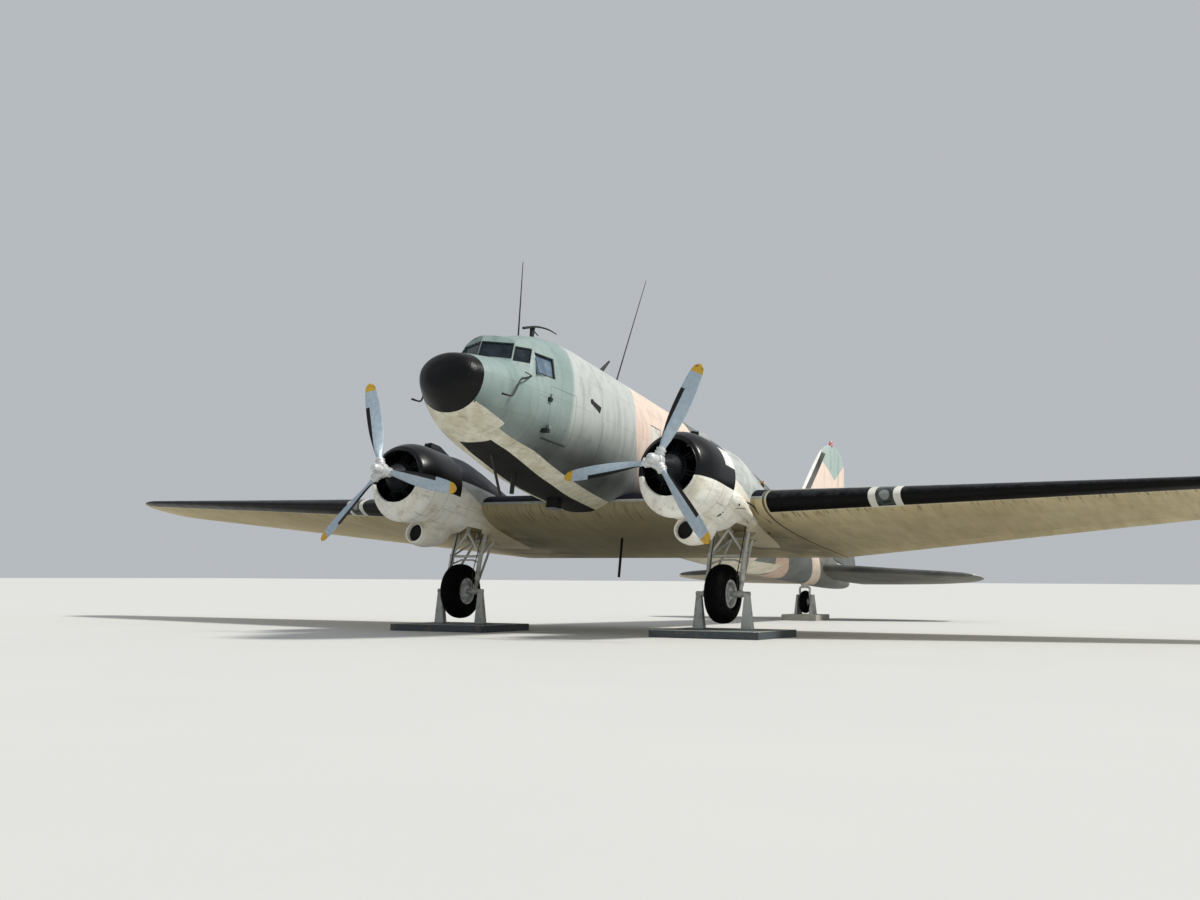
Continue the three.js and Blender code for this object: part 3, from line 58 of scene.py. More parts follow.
# Floor: a pale plain sheet that runs on far past the plane. It is a stage, not part of the object.
# Its colour is mottled very slightly, so that shadows sit on something.
class Wire:
    """One output in the material being made. Sums on it add Math nodes."""

    tree = None

    def __init__(self, socket):
        self.socket = socket

    @classmethod
    def node(cls, kind, settings, sockets, out=0):
        """Adds a node: its type, its settings, its sockets' values or links, the output wanted."""
        node = cls.tree.nodes.new("ShaderNode" + kind)
        for name, value in settings.items():
            setattr(node, name, value)
        for name, value in sockets.items():
            if isinstance(value, Wire):
                cls.tree.links.new(value.socket, node.inputs[name])
            else:
                node.inputs[name].default_value = value
        if isinstance(out, tuple):
            return [cls(node.outputs[name]) for name in out]
        return cls(node.outputs[out]) if node.outputs else node

    def sum(self, operation, *others, first=None):
        """A Math node on this wire, or on another value and this wire."""
        values = (self, *others) if first is None else (first, self)
        return Wire.node("Math", {"operation": operation}, dict(enumerate(values)))

    def __add__(self, other):
        return self.sum("ADD", other)

    def __sub__(self, other):
        return self.sum("SUBTRACT", other)

    def __rsub__(self, other):
        return self.sum("SUBTRACT", first=other)

    def __mul__(self, other):
        return self.sum("MULTIPLY", other)

    def __mod__(self, other):
        return self.sum("FLOORED_MODULO", other)

    def __pow__(self, other):
        return self.sum("POWER", other)

    def __abs__(self):
        return self.sum("ABSOLUTE")

    __radd__ = __add__
    __rmul__ = __mul__

    def past(self, place, soft=0.01):
        """0 before a place on this wire's scale, 1 after it, smooth over a soft width."""
        return Wire.node(
            "MapRange",
            {"interpolation_type": "SMOOTHSTEP"},
            {"Value": self, "From Min": place - soft / 2, "From Max": place + soft / 2},
        )

    def beyond(self, other, soft=0.01):
        """1 where this wire is above another, smooth over a soft width."""
        return (self - other).past(0, soft)

    def near(self, place, half, soft=0.004):
        """1 within half a width of a place, 0 outside."""
        return 1 - abs(self - place).past(half, soft)


def tint(code):
    """A screen colour such as 8f9a94 as linear light, with alpha."""
    light = [int(code[k : k + 2], 16) / 255 for k in (0, 2, 4)]
    return [v / 12.92 if v < 0.04 else ((v + 0.055) / 1.055) ** 2.4 for v in light] + [1.0]


def mixed(one, other, share):
    """One colour turning to another as share goes from 0 to 1."""
    parts = [tint(c) if isinstance(c, str) else c for c in (one, other)]
    return Wire.node("Mix", {"data_type": "RGBA"}, {0: share, 6: parts[0], 7: parts[1]}, 2)


def noise(place, scale, detail=3.0, rough=0.55):
    """Cloudy noise round a half, so many lumps to the metre."""
    sockets = {"Vector": place, "Scale": scale, "Detail": detail, "Roughness": rough}
    return Wire.node("TexNoise", {}, sockets)


# How the plane is parked: nose up by an angle, then lifted and centred by so many metres
PITCH = math.radians(9.9)
LIFT, MIDDLE = 3.38562, 9.76122


def level_place():
    """Where a point of the surface is when the plane is level, in metres, and its x, y and z."""
    place = Wire.node("TexCoord", {}, {}, "Object")
    c, s = math.cos(PITCH), math.sin(PITCH)
    back = (0, MIDDLE * c + LIFT * s, MIDDLE * s - LIFT * c)
    level = Wire.node("Mapping", {}, {"Vector": place, "Rotation": (PITCH, 0, 0), "Location": back})
    return level, *Wire.node("SeparateXYZ", {}, {0: level}, ("X", "Y", "Z"))


def starts(name):
    """Begins a material; what is wired next goes into it."""
    material = bpy.data.materials.new(name)
    material.use_nodes = True
    Wire.tree = material.node_tree
    Wire.tree.nodes.clear()
    return material


def ends(material, colour, rough, relief, depth, **fixed):
    """Ends a material: colour, roughness and relief, and values that are the same all over."""
    sockets = {"Base Color": colour, "Roughness": rough}
    sockets.update({name.replace("_", " "): value for name, value in fixed.items()})
    sockets["Normal"] = Wire.node("Bump", {}, {"Height": relief, "Distance": depth})
    shader = Wire.node("BsdfPrincipled", {}, sockets)
    Wire.node("OutputMaterial", {}, {"Surface": shader})
    return material


floor_paper = starts("pale floor")
spot = Wire.node("TexCoord", {}, {}, "Object")
ends(floor_paper, mixed("c9c9c6", "cfcfcb", noise(spot, 0.3)), 0.85, noise(spot, 8), 0.002)
floor_mesh = bpy.data.meshes.new("floor")
reach = np.array([[-1, -1], [1, -1], [1, 1], [-1, 1]]) * 220.0
floor_mesh.from_pydata(np.c_[reach, np.full(4, -0.001)].tolist(), [], [[0, 1, 2, 3]])
floor_mesh.materials.append(floor_paper)
floor = bpy.data.objects.new("floor", floor_mesh)
bpy.context.scene.collection.objects.link(floor)

# Light: an even studio sky, and one large soft lamp high up on the port side, a little aft, so that
# the undersides and the fronts stay darker than the backs, as on the day of the photograph.
sky = bpy.data.worlds.new("studio")
sky.use_nodes = True
sky.node_tree.nodes["Background"].inputs["Color"].default_value = (0.90, 0.95, 1.0, 1)
sky.node_tree.nodes["Background"].inputs["Strength"].default_value = 0.52
bpy.context.scene.world = sky
bpy.context.scene.view_settings.view_transform = "Standard"
sun = bpy.data.objects.new("soft sun", bpy.data.lights.new("soft sun", "SUN"))
sun.data.energy = 3.3
sun.data.angle = math.radians(9)
sun.data.color = (1.0, 0.97, 0.92)
sun.rotation_euler = (-Vector((0.66, 0.12, 0.86))).to_track_quat("-Z", "Y").to_euler()
bpy.context.scene.collection.objects.link(sun)

# Nose cap: a moulded black dome over the tip, semi-gloss with an orange-peel skin, bolted to the
# front frame. It ends 362 mm aft of the tip.

# Fuselage sections: aft, half width, underside, widest level, crown without and with the cockpit
# roof, squareness
HULL = [
    [0, 40, 930, 970, 1010, 1010, 2],
    [15, 180, 846, 976, 1104, 1110, 2],
    [40, 310, 717, 985, 1210, 1230, 2],
    [140, 495, 560, 1010, 1350, 1395, 2],
    [320, 605, 430, 1000, 1415, 1550, 2.1],
    [600, 718, 300, 960, 1472, 1745, 2.2],
    [1000, 852, 165, 910, 1545, 1930, 2.3],
    [1500, 958, 60, 880, 1620, 2060, 2.4],
    [2100, 1040, -50, 910, 1690, 2265, 2.4],
    [2800, 1130, -178, 935, 1755, 2362, 2.3],
    [3600, 1188, -256, 955, 1798, 2362, 2.2],
    [5000, 1238, -300, 975, 1800, 2328, 2.15],
    [7000, 1250, -320, 970, 1800, 2275, 2.15],
    [9200, 1245, -310, 950, 1800, 2200, 2.15],
    [11000, 1165, -215, 920, 1800, 2050, 2.1],
    [13000, 960, -35, 880, 1800, 1810, 2.05],
    [15000, 690, 150, 840, 1520, 1520, 2],
    [16500, 470, 290, 800, 1310, 1310, 2],
    [17700, 290, 430, 780, 1140, 1140, 2],
    [18500, 170, 560, 760, 960, 960, 2],
    [18880, 70, 660, 750, 840, 840, 2],
]
CAP_EDGE = 362
NOSE_JOINT, TAIL_JOINT = 3400, 13400
WALL = 60
JOINT_GAP = 0.4
SIDES = {"port": 1, "starboard": -1}


def through(rows, place):
    """Smooth curves through a table's rows, read at places in its first column. Each row's slope
    is the one between its two neighbours, and cubics join them."""
    rows, place = np.asarray(rows, float), np.atleast_1d(np.asarray(place, float))
    index = np.arange(len(rows))
    before, after = np.maximum(index - 1, 0), np.minimum(index + 1, len(rows) - 1)
    slope = (rows[after] - rows[before]) / (rows[after, :1] - rows[before, :1])
    i = np.clip(np.searchsorted(rows[:, 0], place) - 1, 0, len(rows) - 2)
    h = rows[i + 1, :1] - rows[i, :1]
    t = (place[:, None] - rows[i, :1]) / h
    near = rows[i] * (2 * t**3 - 3 * t**2 + 1) + h * slope[i] * (t**3 - 2 * t**2 + t)
    return near + rows[i + 1] * (3 * t**2 - 2 * t**3) + h * slope[i + 1] * (t**3 - t**2)


def circle(count):
    """Cosine and sine at even steps round a turn."""
    turn = np.arange(count) * 2 * math.pi / count
    return np.cos(turn), np.sin(turn)


def superellipse(count, power):
    """Cosine and sine round a turn, each raised to a power but keeping its sign."""
    return [np.sign(v) * np.abs(v) ** power for v in circle(count)]


def hull(places, inset=0, roof=5):
    """Fuselage rings: half width times a powered cosine across, and from the widest level up to
    the crown or down to the underside times a powered sine."""
    table = through(HULL, places)[:, :, None]
    half, low, mid, high = table[:, 1] - inset, table[:, 2] + inset, table[:, 3], table[:, roof] - inset
    across, rise = superellipse(112, 2 / table[:, 6])
    up = np.where(rise > 0, high - mid, mid - low) * rise
    return np.stack([half * across, table[:, 0] + 0 * across, mid + up], -1)


def skin_x(y, z):
    """Half width of the skin at a distance aft and a level."""
    _, half, low, mid, _, crown, n = through(HULL, y).T
    share = np.minimum(1, np.abs(z - mid) / np.where(z > mid, crown - mid, mid - low))
    return half * (1 - share**n) ** (1 / n)


def made(points, faces):
    """A closed body from points and faces, with its doubles merged and its faces outwards."""
    mesh = bpy.data.meshes.new("body")
    mesh.from_pydata(np.asarray(points).tolist(), [], faces)
    work = bmesh.new()
    work.from_mesh(mesh)
    bmesh.ops.remove_doubles(work, verts=work.verts, dist=0.02)
    bmesh.ops.recalc_face_normals(work, faces=work.faces)
    work.to_mesh(mesh)
    work.free()
    body = bpy.data.objects.new("body", mesh)
    bpy.context.scene.collection.objects.link(body)
    return body


def loft(rings, wrap=False):
    """A skin over rings of points: each point joins its neighbours and the last column the first.
    The first and last rings are closed by a fan to their centre, or joined to each other."""
    rings = np.asarray(rings, float)
    rows, count = rings.shape[:2]
    i, j = np.arange(rows - (not wrap))[:, None], np.arange(count)[None]
    k, m = (i + 1) % rows, (j + 1) % count
    corners = [i * count + j, i * count + m, k * count + m, k * count + j]
    faces = np.stack(corners, -1).reshape(-1, 4).tolist()
    points = rings.reshape(-1, 3)
    if not wrap:
        for row in (0, rows - 1):
            spoke = row * count + j[0]
            hub = np.full(count, len(points))
            faces += np.stack([spoke, row * count + m[0], hub], -1).tolist()
            points = np.vstack([points, rings[row].mean(0)])
    return made(points, faces)


def carved(body, *steps):
    """The body after cuts (-), joins (+) and overlaps (&) with other bodies, which are used up."""
    kinds = {"-": "DIFFERENCE", "+": "UNION", "&": "INTERSECT"}
    for way, tool in steps:
        cut = body.modifiers.new(kinds[way], "BOOLEAN")
        cut.operation, cut.object, cut.solver = kinds[way], tool, "MANIFOLD"
    graph = bpy.context.evaluated_depsgraph_get()
    mesh = bpy.data.meshes.new_from_object(body.evaluated_get(graph))
    body.modifiers.clear()
    body.data = mesh
    for tool in {tool for _, tool in steps}:
        bpy.data.objects.remove(tool)
    return body


def twin(body, mirror=False):
    """A second body of the same shape, on the other side of the plane if mirrored."""
    other = bpy.data.objects.new("body", body.data.copy())
    bpy.context.scene.collection.objects.link(other)
    if mirror:
        work = bmesh.new()
        work.from_mesh(other.data)
        bmesh.ops.scale(work, vec=(-1, 1, 1), verts=work.verts)
        bmesh.ops.reverse_faces(work, faces=work.faces)
        work.to_mesh(other.data)
        work.free()
    return other


def block(x0, x1, y0, y1, z0, z1):
    """A plain cutting block between two corners."""
    ring = np.array([[x0, y0], [x1, y0], [x1, y1], [x0, y1]])
    return loft([np.c_[ring, np.full(4, z)] for z in (z0, z1)])


def parks(body, name, material, rides="airframe", nodes=(), sharp=30):
    """Finishes a level body: pitches it nose up about the wheels, lifts and centres it in metres,
    shades it smooth up to a sharp angle, and gives it its material, its body and its nodes."""
    points = np.empty(len(body.data.vertices) * 3)
    body.data.vertices.foreach_get("co", points)
    x, y, z = points.reshape(-1, 3).T / 1000
    c, s = math.cos(PITCH), math.sin(PITCH)
    placed = np.stack([x, y * c + z * s - MIDDLE, z * c - y * s + LIFT], -1)
    body.data.vertices.foreach_set("co", placed.ravel())
    body.name = body.data.name = name
    body.data.materials.clear()
    body.data.materials.append(material)
    body.data.shade_smooth()
    body.data.set_sharp_from_angle(angle=math.radians(sharp))
    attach(body, rides)
    if nodes:
        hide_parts(*nodes)
    return body


cap_black = starts("nose cap black")
level, _, _, z = level_place()
peel = noise(level, 55, 2)
scuffs = noise(level, 14, 6, 0.7).past(0.62, 0.1)
# Chalky grey on the upper dome: partly real chalking, partly a painted highlight on the top
chalk_and_highlight = noise(level, 3.5, 4).past(0.56, 0.3) * z.past(1.0, 0.6)
ends(
    cap_black,
    mixed(mixed("030304", "0d0f11", chalk_and_highlight), "1b1d1f", scuffs * 0.4),
    0.31 + 0.06 * chalk_and_highlight + 0.12 * scuffs,
    peel + 0.5 * noise(level, 18, 4),
    0.004,
    Specular_IOR_Level=0.22,
)

# The screen round the cockpit: the level of its sill, and its plan there, across and aft
SILL = 1550
SCREEN = [[0, 985], [535, 1240], [800, 1500], [985, 1950], [1300, 2600], [1500, 3450]]


def on_screen(plan, z, inset=0):
    """Points over the screen's plan at a level: for each metre up drawn in by a fifth, and leaning
    aft by 0.3 m in front and 0.06 m at the sides."""
    plan, rise = np.asarray(plan, float), np.asarray(z, float) - SILL
    lean = np.where(plan[..., 0] > 900, 0.06, 0.3)
    across = plan[..., 0] * (1 - rise / 5000)
    return np.stack([across, plan[..., 1] + lean * rise + inset, z + 0 * across], -1)


def nose_body(inset):
    """The nose: a hull with a flat deck, and the cockpit roof inside the leaning screen on it."""
    start = 430 if inset else 0
    stations = start + (3450 - start) * np.linspace(0, 1, 96) ** 1.6
    rings = [on_screen(SCREEN, z, inset * 1.15) for z in (1000, 2700)]
    sides = [np.vstack([ring, ring[:0:-1] * [-1, 1, 1]]) for ring in rings]
    roof = carved(loft(hull(stations[stations > 600], inset)), ("&", loft(sides)))
    stations = stations if inset else np.minimum(stations, NOSE_JOINT)[:-1]
    return carved(loft(hull(stations, inset, 4)), ("+", roof))


def ahead_of(y):
    """A cutting block that takes in all of the nose ahead of a place."""
    return block(-2000, 2000, -100, y, -900, 3000)


nose_outer = carved(nose_body(0), ("&", ahead_of(NOSE_JOINT)))
nose_inner = nose_body(WALL)
cap = carved(twin(nose_outer), ("&", ahead_of(CAP_EDGE - JOINT_GAP)))
parks(cap, "nose_dome", cap_black, nodes=["nose_cap"])

# Nose and cockpit: aluminium skin painted a thin grey-green that has chalked and streaked, with the
# panels' seams showing. Its underside is cream, black under the floor behind the step. The crew
# door and the cockpit's panes are cut out of it.
DIRT, PINK_TAN, DARK_GREY = "4d5048", "e3cbbb", "4d5250"


def seams(level, place, pitch, half=0.0025):
    """Fine lines across a wire's scale, one each pitch, that fade in and out."""
    return (place % pitch).near(pitch / 2, half) * (0.55 + 0.45 * noise(level, 0.9))


def weathered(level, paint, amount=0.45):
    """Chalky clouds, fine speckle and streaks that run down from above, over a paint."""
    stretch = Wire.node("Mapping", {}, {"Vector": level, "Scale": (3.2, 3.2, 0.35)})
    streaks = noise(stretch, 2.2, 5, 0.65).past(0.57, 0.24)
    clouds = noise(level, 0.8, 5, 0.6).past(0.5, 0.5)
    speckle = noise(level, 34, 3, 0.7).past(0.66, 0.12)
    faded = mixed(paint, "dfe2dc", clouds * 0.16)
    streaked = mixed(faded, DIRT, streaks * amount * 0.5)
    return mixed(streaked, DIRT, speckle * amount * 0.4)


airframe_paint = starts("fuselage paint")
level, x, y, z = level_place()
span = abs(x)
wander = (noise(level, 0.7, 2) - 0.5) * 0.10
# The grey-green nose ends in a curve behind the crew door, and tan follows the paler grey
high = (z - 1.4).sum("MAXIMUM", 0)
nose_end = 2.36 + 0.08 * z + 0.25 * high * high + wander
side = mixed("7e9390", "b6bbb8", y.beyond(nose_end, 0.12))
# Painted shade: the side darkens towards the bottom ahead of the wing
side = mixed(side, "4f5b57", (1 - z.past(0.75, 1.1)) * (1 - y.past(4.6, 0.5)) * 0.75)
lowness = z - 1.2
tan_start = 4.52 + 0.5 * lowness * lowness + wander
side = mixed(side, PINK_TAN, y.beyond(tan_start, 0.03))
# Two patches of painted shade low on the side: by the step behind the nose, and a fainter one over the
# wing's root
for colour, low, soft, start, run, end, fade, amount in (
    ("15191a", 0.38, 0.5, 1.7, 0.8, 4.4, 1.6, 0.85),
    ("2c3131", 0.66, 0.8, 2.5, 0.9, 5.6, 1.0, 0.45),
):
    low_painted_shade = (1 - z.past(low, soft)) * y.past(start, run) * (1 - y.past(end, fade))
    side = mixed(side, colour, low_painted_shade * amount)
# Behind the wing, slanted bands of dark grey and tan by turns: where each starts, and its slant
for start, lean, colour in (
    (7.2, 0.1, DARK_GREY),
    (9.4, -0.3, PINK_TAN),
    (11.4, 0.3, DARK_GREY),
    (13.1, 3.5, "c4a58f"),
    (14.35, 3.9, DARK_GREY),
    (16.2, 2.6, "e2cfb9"),
    (16.9, 2.3, "595850"),
):
    slant = lean * z.sum("MINIMUM", 1.0)
    side = mixed(side, colour, (y + slant - start - wander * 2).past(0, 0.03))
# Cream underside: a patch behind the cap, then a stripe on each side of the black belly
stepped = y.past(1.04, 0.008)
patch = (1 - stepped) * (1 - (z + 0.327 * y - 0.714).past(0, 0.012))
outer = 0.56 + 0.13 * y.past(1.5, 1.3) - 0.05 * y.past(3.6, 1.8)
inner = 0.32 + 0.06 * y.past(1.45, 0.6) - 0.055 * y.past(3.5, 0.9)
under_side = 1 - z.past(0.72, 0.02)
stripe = stepped * (1 - (span - outer).past(0, 0.008)) * under_side * (1 - y.past(13, 0.02))
belly = (1 - (span - inner).past(0, 0.008)) * y.past(1.2, 0.01) * under_side * (1 - y.past(4.9, 0.02))
cracks = Wire.node("TexVoronoi", {"feature": "DISTANCE_TO_EDGE"}, {"Vector": level, "Scale": 6.5})
cracked = (1 - cracks.past(0.012, 0.016)) * noise(level, 3, 4).past(0.48, 0.1)
grimy = noise(level, 2.2, 5, 0.65).past(0.5, 0.4)
cream = mixed(mixed("e0dccb", "c2bb9f", grimy), "8a8062", cracked * 0.6)
below = patch.sum("MAXIMUM", stripe)
paint = weathered(level, mixed(side, cream, below))
paint = mixed(paint, "050505", belly)
# Seams round the hull every 0.61 m with rivets on each side of them, and lengthwise at four levels
SEAM_PITCH, RIVET_PITCH = 0.61, 0.04
lines = seams(level, y, SEAM_PITCH)
for seam_level in (1.06, 0.56, 0.12, 1.62):
    lines = lines.sum("MAXIMUM", z.near(seam_level, 0.0025) * 0.7)
paint = mixed(paint, "3b403e", lines * 0.5)
from_seam = abs(y % SEAM_PITCH - SEAM_PITCH / 2)
rows = from_seam.near(0.022, 0.004, 0.003) * (z % RIVET_PITCH).near(RIVET_PITCH / 2, 0.006)
ends(
    airframe_paint,
    mixed(paint, "2e3331", rows * 0.25),
    0.60 - 0.16 * noise(level, 2.4, 3) + 0.2 * below,
    (1 - lines) + 0.5 * rows + 0.10 * noise(level, 1.7, 2) + 0.02 * noise(level, 60, 2),
    0.0025,
    Specular_IOR_Level=0.35,
)


def outward(corners):
    """The unit normal of a flat quadrilateral, pointing away from the fuselage's middle line."""
    normal = np.cross(corners[1] - corners[0], corners[3] - corners[0])
    normal /= np.linalg.norm(normal)
    middle = corners.mean(0)
    return -normal if normal @ (middle - [0, middle[1] + 1, 900]) < 0 else normal


def pane(corners, outer, inner):
    """The prism through a flat quadrilateral between two depths."""
    corners = np.asarray(corners, float)
    return loft([corners + outward(corners) * depth for depth in (outer, inner)])


# Panes on the port side: facet of the screen, start and end along it, sill and head
PANES = {"windshield": (0, 0.03, 0.98, 1566, 1850), "quarter_pane": (1, 0.07, 0.85, 1532, 1800)}
SIDE_WINDOW = (1525, 1930, 1375, 1735, 50)


def pane_corners():
    """The four corners of each pane on the port skin, by name."""
    corners = {}
    for name, (facet, start, end, low, high) in PANES.items():
        p, q = np.array(SCREEN[facet]), np.array(SCREEN[facet + 1])
        foot, far = p + (q - p) * start, p + (q - p) * end
        quad = [(foot, low), (far, low), (far, high), (foot, high)]
        corners[name] = np.array([on_screen(plan, level) for plan, level in quad])
    y0, y1, low, high, rake = SIDE_WINDOW
    quad = [(y0, low), (y1, low), (y1 + rake, high), (y0 + rake, high)]
    corners["side_window"] = np.array([[skin_x(y, z)[0], y, z] for y, z in quad])
    return corners


# Doors: start and end aft, sill and head, hinged edge
DOORS = {
    "crew_door": (1840, 2545, 340, 1230, "front"),
    "cargo_door_front": (10350, 11560, 345, 1680, "front"),
    "cargo_door_rear": (11580, 12450, 345, 1620, "rear"),
}
SWING_GAP = 6
# A leaf is as thick as the wall, but only a thin skin for a little way in from its free edge
LEAF_SKIN, LEAF_REBATE = 18, 45
# Hinge knuckles: how far their line stands off the skin, length, radius, radius of the room round
# them, how far their straps reach from the line, and the play between two knuckles
HINGE_OUT = 26
KNUCKLE = {"length": 70, "radius": 14, "room": 38, "strap": (4, 70), "play": JOINT_GAP}


def door_zone(y0, y1, low, high, gap=0):
    """The block that a doorway takes up on the port side, or its leaf if drawn in by a gap."""
    return block(0, 2000, y0 + gap, y1 - gap, low + gap, high - gap)


def rings_round(path, radius, sides, up):
    """Circles square to a path: each centre plus its radius times two directions square to the
    path's tangent, the first of them square to a fixed direction too."""
    path = np.asarray(path, float)
    along = np.gradient(path, axis=0)
    along /= np.linalg.norm(along, axis=1, keepdims=True)
    across = np.cross(along, np.asarray(up, float))
    across /= np.linalg.norm(across, axis=1, keepdims=True)
    other = np.cross(across, along)
    c, s = [v[None, :, None] for v in circle(sides)]
    radius = np.broadcast_to(radius, len(path))[:, None, None]
    return path[:, None] + radius * (across[:, None] * c + other[:, None] * s)


def bar(path, radius, sides, up=(0, 0, 1)):
    """A round bar along a path, its radius one number or one for each point of the path."""
    path = np.asarray(path, float)
    if len(path) == 2 and np.ndim(radius) == 0:
        path = np.vstack([path[0], path.mean(0), path[1]])
    return loft(rings_round(path, radius, sides, up))


def merged(*bodies):
    """Several bodies as one object, each still a closed body of its own."""
    work = bmesh.new()
    for body in bodies:
        work.from_mesh(body.data)
    work.to_mesh(bodies[0].data)
    work.free()
    for body in bodies[1:]:
        bpy.data.objects.remove(body)
    return bodies[0]


def leaf_and_frame(name, section, whole, hollow, skin_frame):
    """A door's leaf with its knuckles, and the section with the doorway cut out of it."""
    y0, y1, low, high, hinged = DOORS[name]
    edge = (y1 - LEAF_REBATE, y1) if hinged == "front" else (y0, y0 + LEAF_REBATE)
    rebate = carved(twin(skin_frame), ("&", block(0, 2000, *edge, low, high)))
    zone = door_zone(y0, y1, low, high, SWING_GAP)
    leaf = carved(twin(whole), ("&", zone), ("-", twin(hollow)), ("-", rebate))
    section = carved(section, ("-", door_zone(y0, y1, low, high)))
    way, hinge_y = (1, y0 - 2) if hinged == "front" else (-1, y1 + 2)
    widest = np.clip(through(HULL, hinge_y)[0, 3], low, high)
    x = skin_x(hinge_y, widest)[0] + HINGE_OUT
    long, play = KNUCKLE["length"], KNUCKLE["play"]

    def upright(z0, z1, radius):
        """A round rod on the hinge line between two levels."""
        return bar([[x, hinge_y, z0], [x, hinge_y, z1]], radius, 16, (0, 1, 0))

    def knuckle(z, way, z0, z1):
        """A barrel between two levels, and the strap from it back to the skin on one side."""
        reach = sorted(hinge_y + way * off for off in KNUCKLE["strap"])
        back = skin_x(hinge_y + way * long / 2, z)[0] - 20
        return [upright(z0, z1, KNUCKLE["radius"]), block(back, x + 6, *reach, z0, z1)]

    knuckles = []
    for z in (low + 130, high - 220):
        section = carved(section, ("-", upright(z - play / 2, z + long + 2, KNUCKLE["room"])))
        knuckles += knuckle(z, way, z + play, z + long)
        base = merged(*knuckle(z, -way, z - long, z - play))
        parks(base, f"{name}_hinge_{z}", latch_black)
    return merged(leaf, *knuckles), section


latch_black = starts("latch black")
level = level_place()[0]
worn = noise(level, 30, 4).past(0.62, 0.1)
ends(latch_black, mixed("08090a", "34312c", worn), 0.5, noise(level, 90), 0.0006)

nose_cut = [("-", ahead_of(CAP_EDGE)), ("-", twin(nose_inner))]
corners = pane_corners()
for quad in corners.values():
    prism = pane(quad, 160, -200)
    nose_cut += [("-", twin(prism, mirror=True)), ("-", prism)]
shell = carved(twin(nose_outer), *nose_cut)
nose_frame = nose_body(LEAF_SKIN)
leaf, shell = leaf_and_frame("crew_door", shell, nose_outer, nose_inner, nose_frame)
parks(shell, "nose_skin", airframe_paint, nodes=["nose_shell"])
parks(leaf, "crew_door_leaf", airframe_paint, "crew_door", ["crew_door"])

# Small fittings of the nose: a keyhole-shaped black air intake behind the crew door, a black plate that is
# painted shade in its opening, a bent bracket under the cap, and a thick black sill strip under the door.
def on_skin(y, z, off=0.0):
    """A place on the port skin, standing off it by so much."""
    return [skin_x(y, z)[0] + off, y, z]


KEYHOLE_ROUND, KEYHOLE_R = (3010, 1262), 50
KEYHOLE_SLOT = [(3015, 1212), (3255, 1112), (3300, 1236), (3040, 1292)]
SILL_STRIP = (1860, 2500, 326.0)
round_part = bar([on_skin(*KEYHOLE_ROUND, off) for off in (-30, 6)], KEYHOLE_R, 28, (0, 1, 0))
slot_part = pane([on_skin(y, z) for y, z in KEYHOLE_SLOT], 4, -30)
parks(merged(round_part, slot_part), "air_intake_keyhole", latch_black)
sill_path = [on_skin(y, SILL_STRIP[2], 3) for y in np.linspace(*SILL_STRIP[:2], 9)]
parks(bar(sill_path, 8, 10), "crew_door_sill", latch_black)
bracket = bar([[462, 392, 608], [492, 372, 590], [520, 330, 560], [524, 300, 552]], 9, 12)
parks(bracket, "nose_bracket", latch_black)

# Cockpit glass: flat panes of old dusty plate in rubber gaskets, dark because the cockpit behind
# them is unlit. The side window slides, in a broad black frame along its head and its rear edge.
pane_glass = starts("cockpit glass")
level = level_place()[0]
dust = noise(level, 4, 5, 0.6).past(0.5, 0.35)
ends(
    pane_glass,
    mixed("0e171e", "3a4852", dust * 0.35),
    0.05 + 0.1 * dust,
    noise(level, 1.5, 2),
    0.001,
    Specular_IOR_Level=0.3,
)
# The side window's glass is paler blue-grey than the panes: a painted reflection
side_glass = starts("side window glass")
level = level_place()[0]
haze = noise(level, 5, 5, 0.6).past(0.5, 0.4)
ends(side_glass, mixed("42586a", "6c7f8d", haze), 0.06 + 0.1 * haze, noise(level, 1.5, 2), 0.001)


def dressed(node, material):
    """Gives a material to a solid that is shown as it is."""
    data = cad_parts[node].data
    data.materials.clear()
    data.materials.append(material)


for name in corners:
    for side in SIDES:
        dressed(f"{name}_{side}", side_glass if name == "side_window" else pane_glass)

gasket_rubber = starts("gasket rubber")
level = level_place()[0]
bloom = noise(level, 25, 4).past(0.6, 0.2)
ends(gasket_rubber, mixed("101112", "35393a", bloom), 0.7, noise(level, 120), 0.0005)


def gasket(quad, radius, edges=(0, 1, 2, 3), lift=2):
    """Round strips along the edges of a quadrilateral, standing just off its plane."""
    raised = quad + outward(quad) * lift
    return merged(*[bar([raised[k], raised[(k + 1) % 4]], radius, 8, (0.3, 1, 0.2)) for k in edges])


def both_sides(body, name, material, rides="airframe", node=None, sharp=30):
    """Parks a port piece and its mirror image. The name of the side goes where names have {}."""
    for side, way in SIDES.items():
        nodes = [node.format(side)] if node else []
        parks(twin(body, way < 0), name.format(side), material, rides.format(side), nodes, sharp)
    bpy.data.objects.remove(body)


for name, quad in corners.items():
    strips = [gasket(quad, 7)]
    if name == "side_window":
        strips.append(gasket(quad, 18, edges=(1, 2), lift=4))
    both_sides(merged(*strips), name + "_gasket_{}", gasket_rubber)

# Cabin: a riveted skin like the nose, from the crew bulkhead back to the tail cone, with square
# windows that are blanked by pale covers, and two cargo doors on the port side.
WINDOWS = {"first": 5110, "pitch": 1020, "count": 5, "width": 400, "low": 1060, "high": 1400}
CABIN_BORE = (3300, 13500)


def cabin_body(inset, start, end=TAIL_JOINT):
    """The fuselage between two places, drawn in by an inset."""
    return loft(hull(np.linspace(start, end, 110), inset))


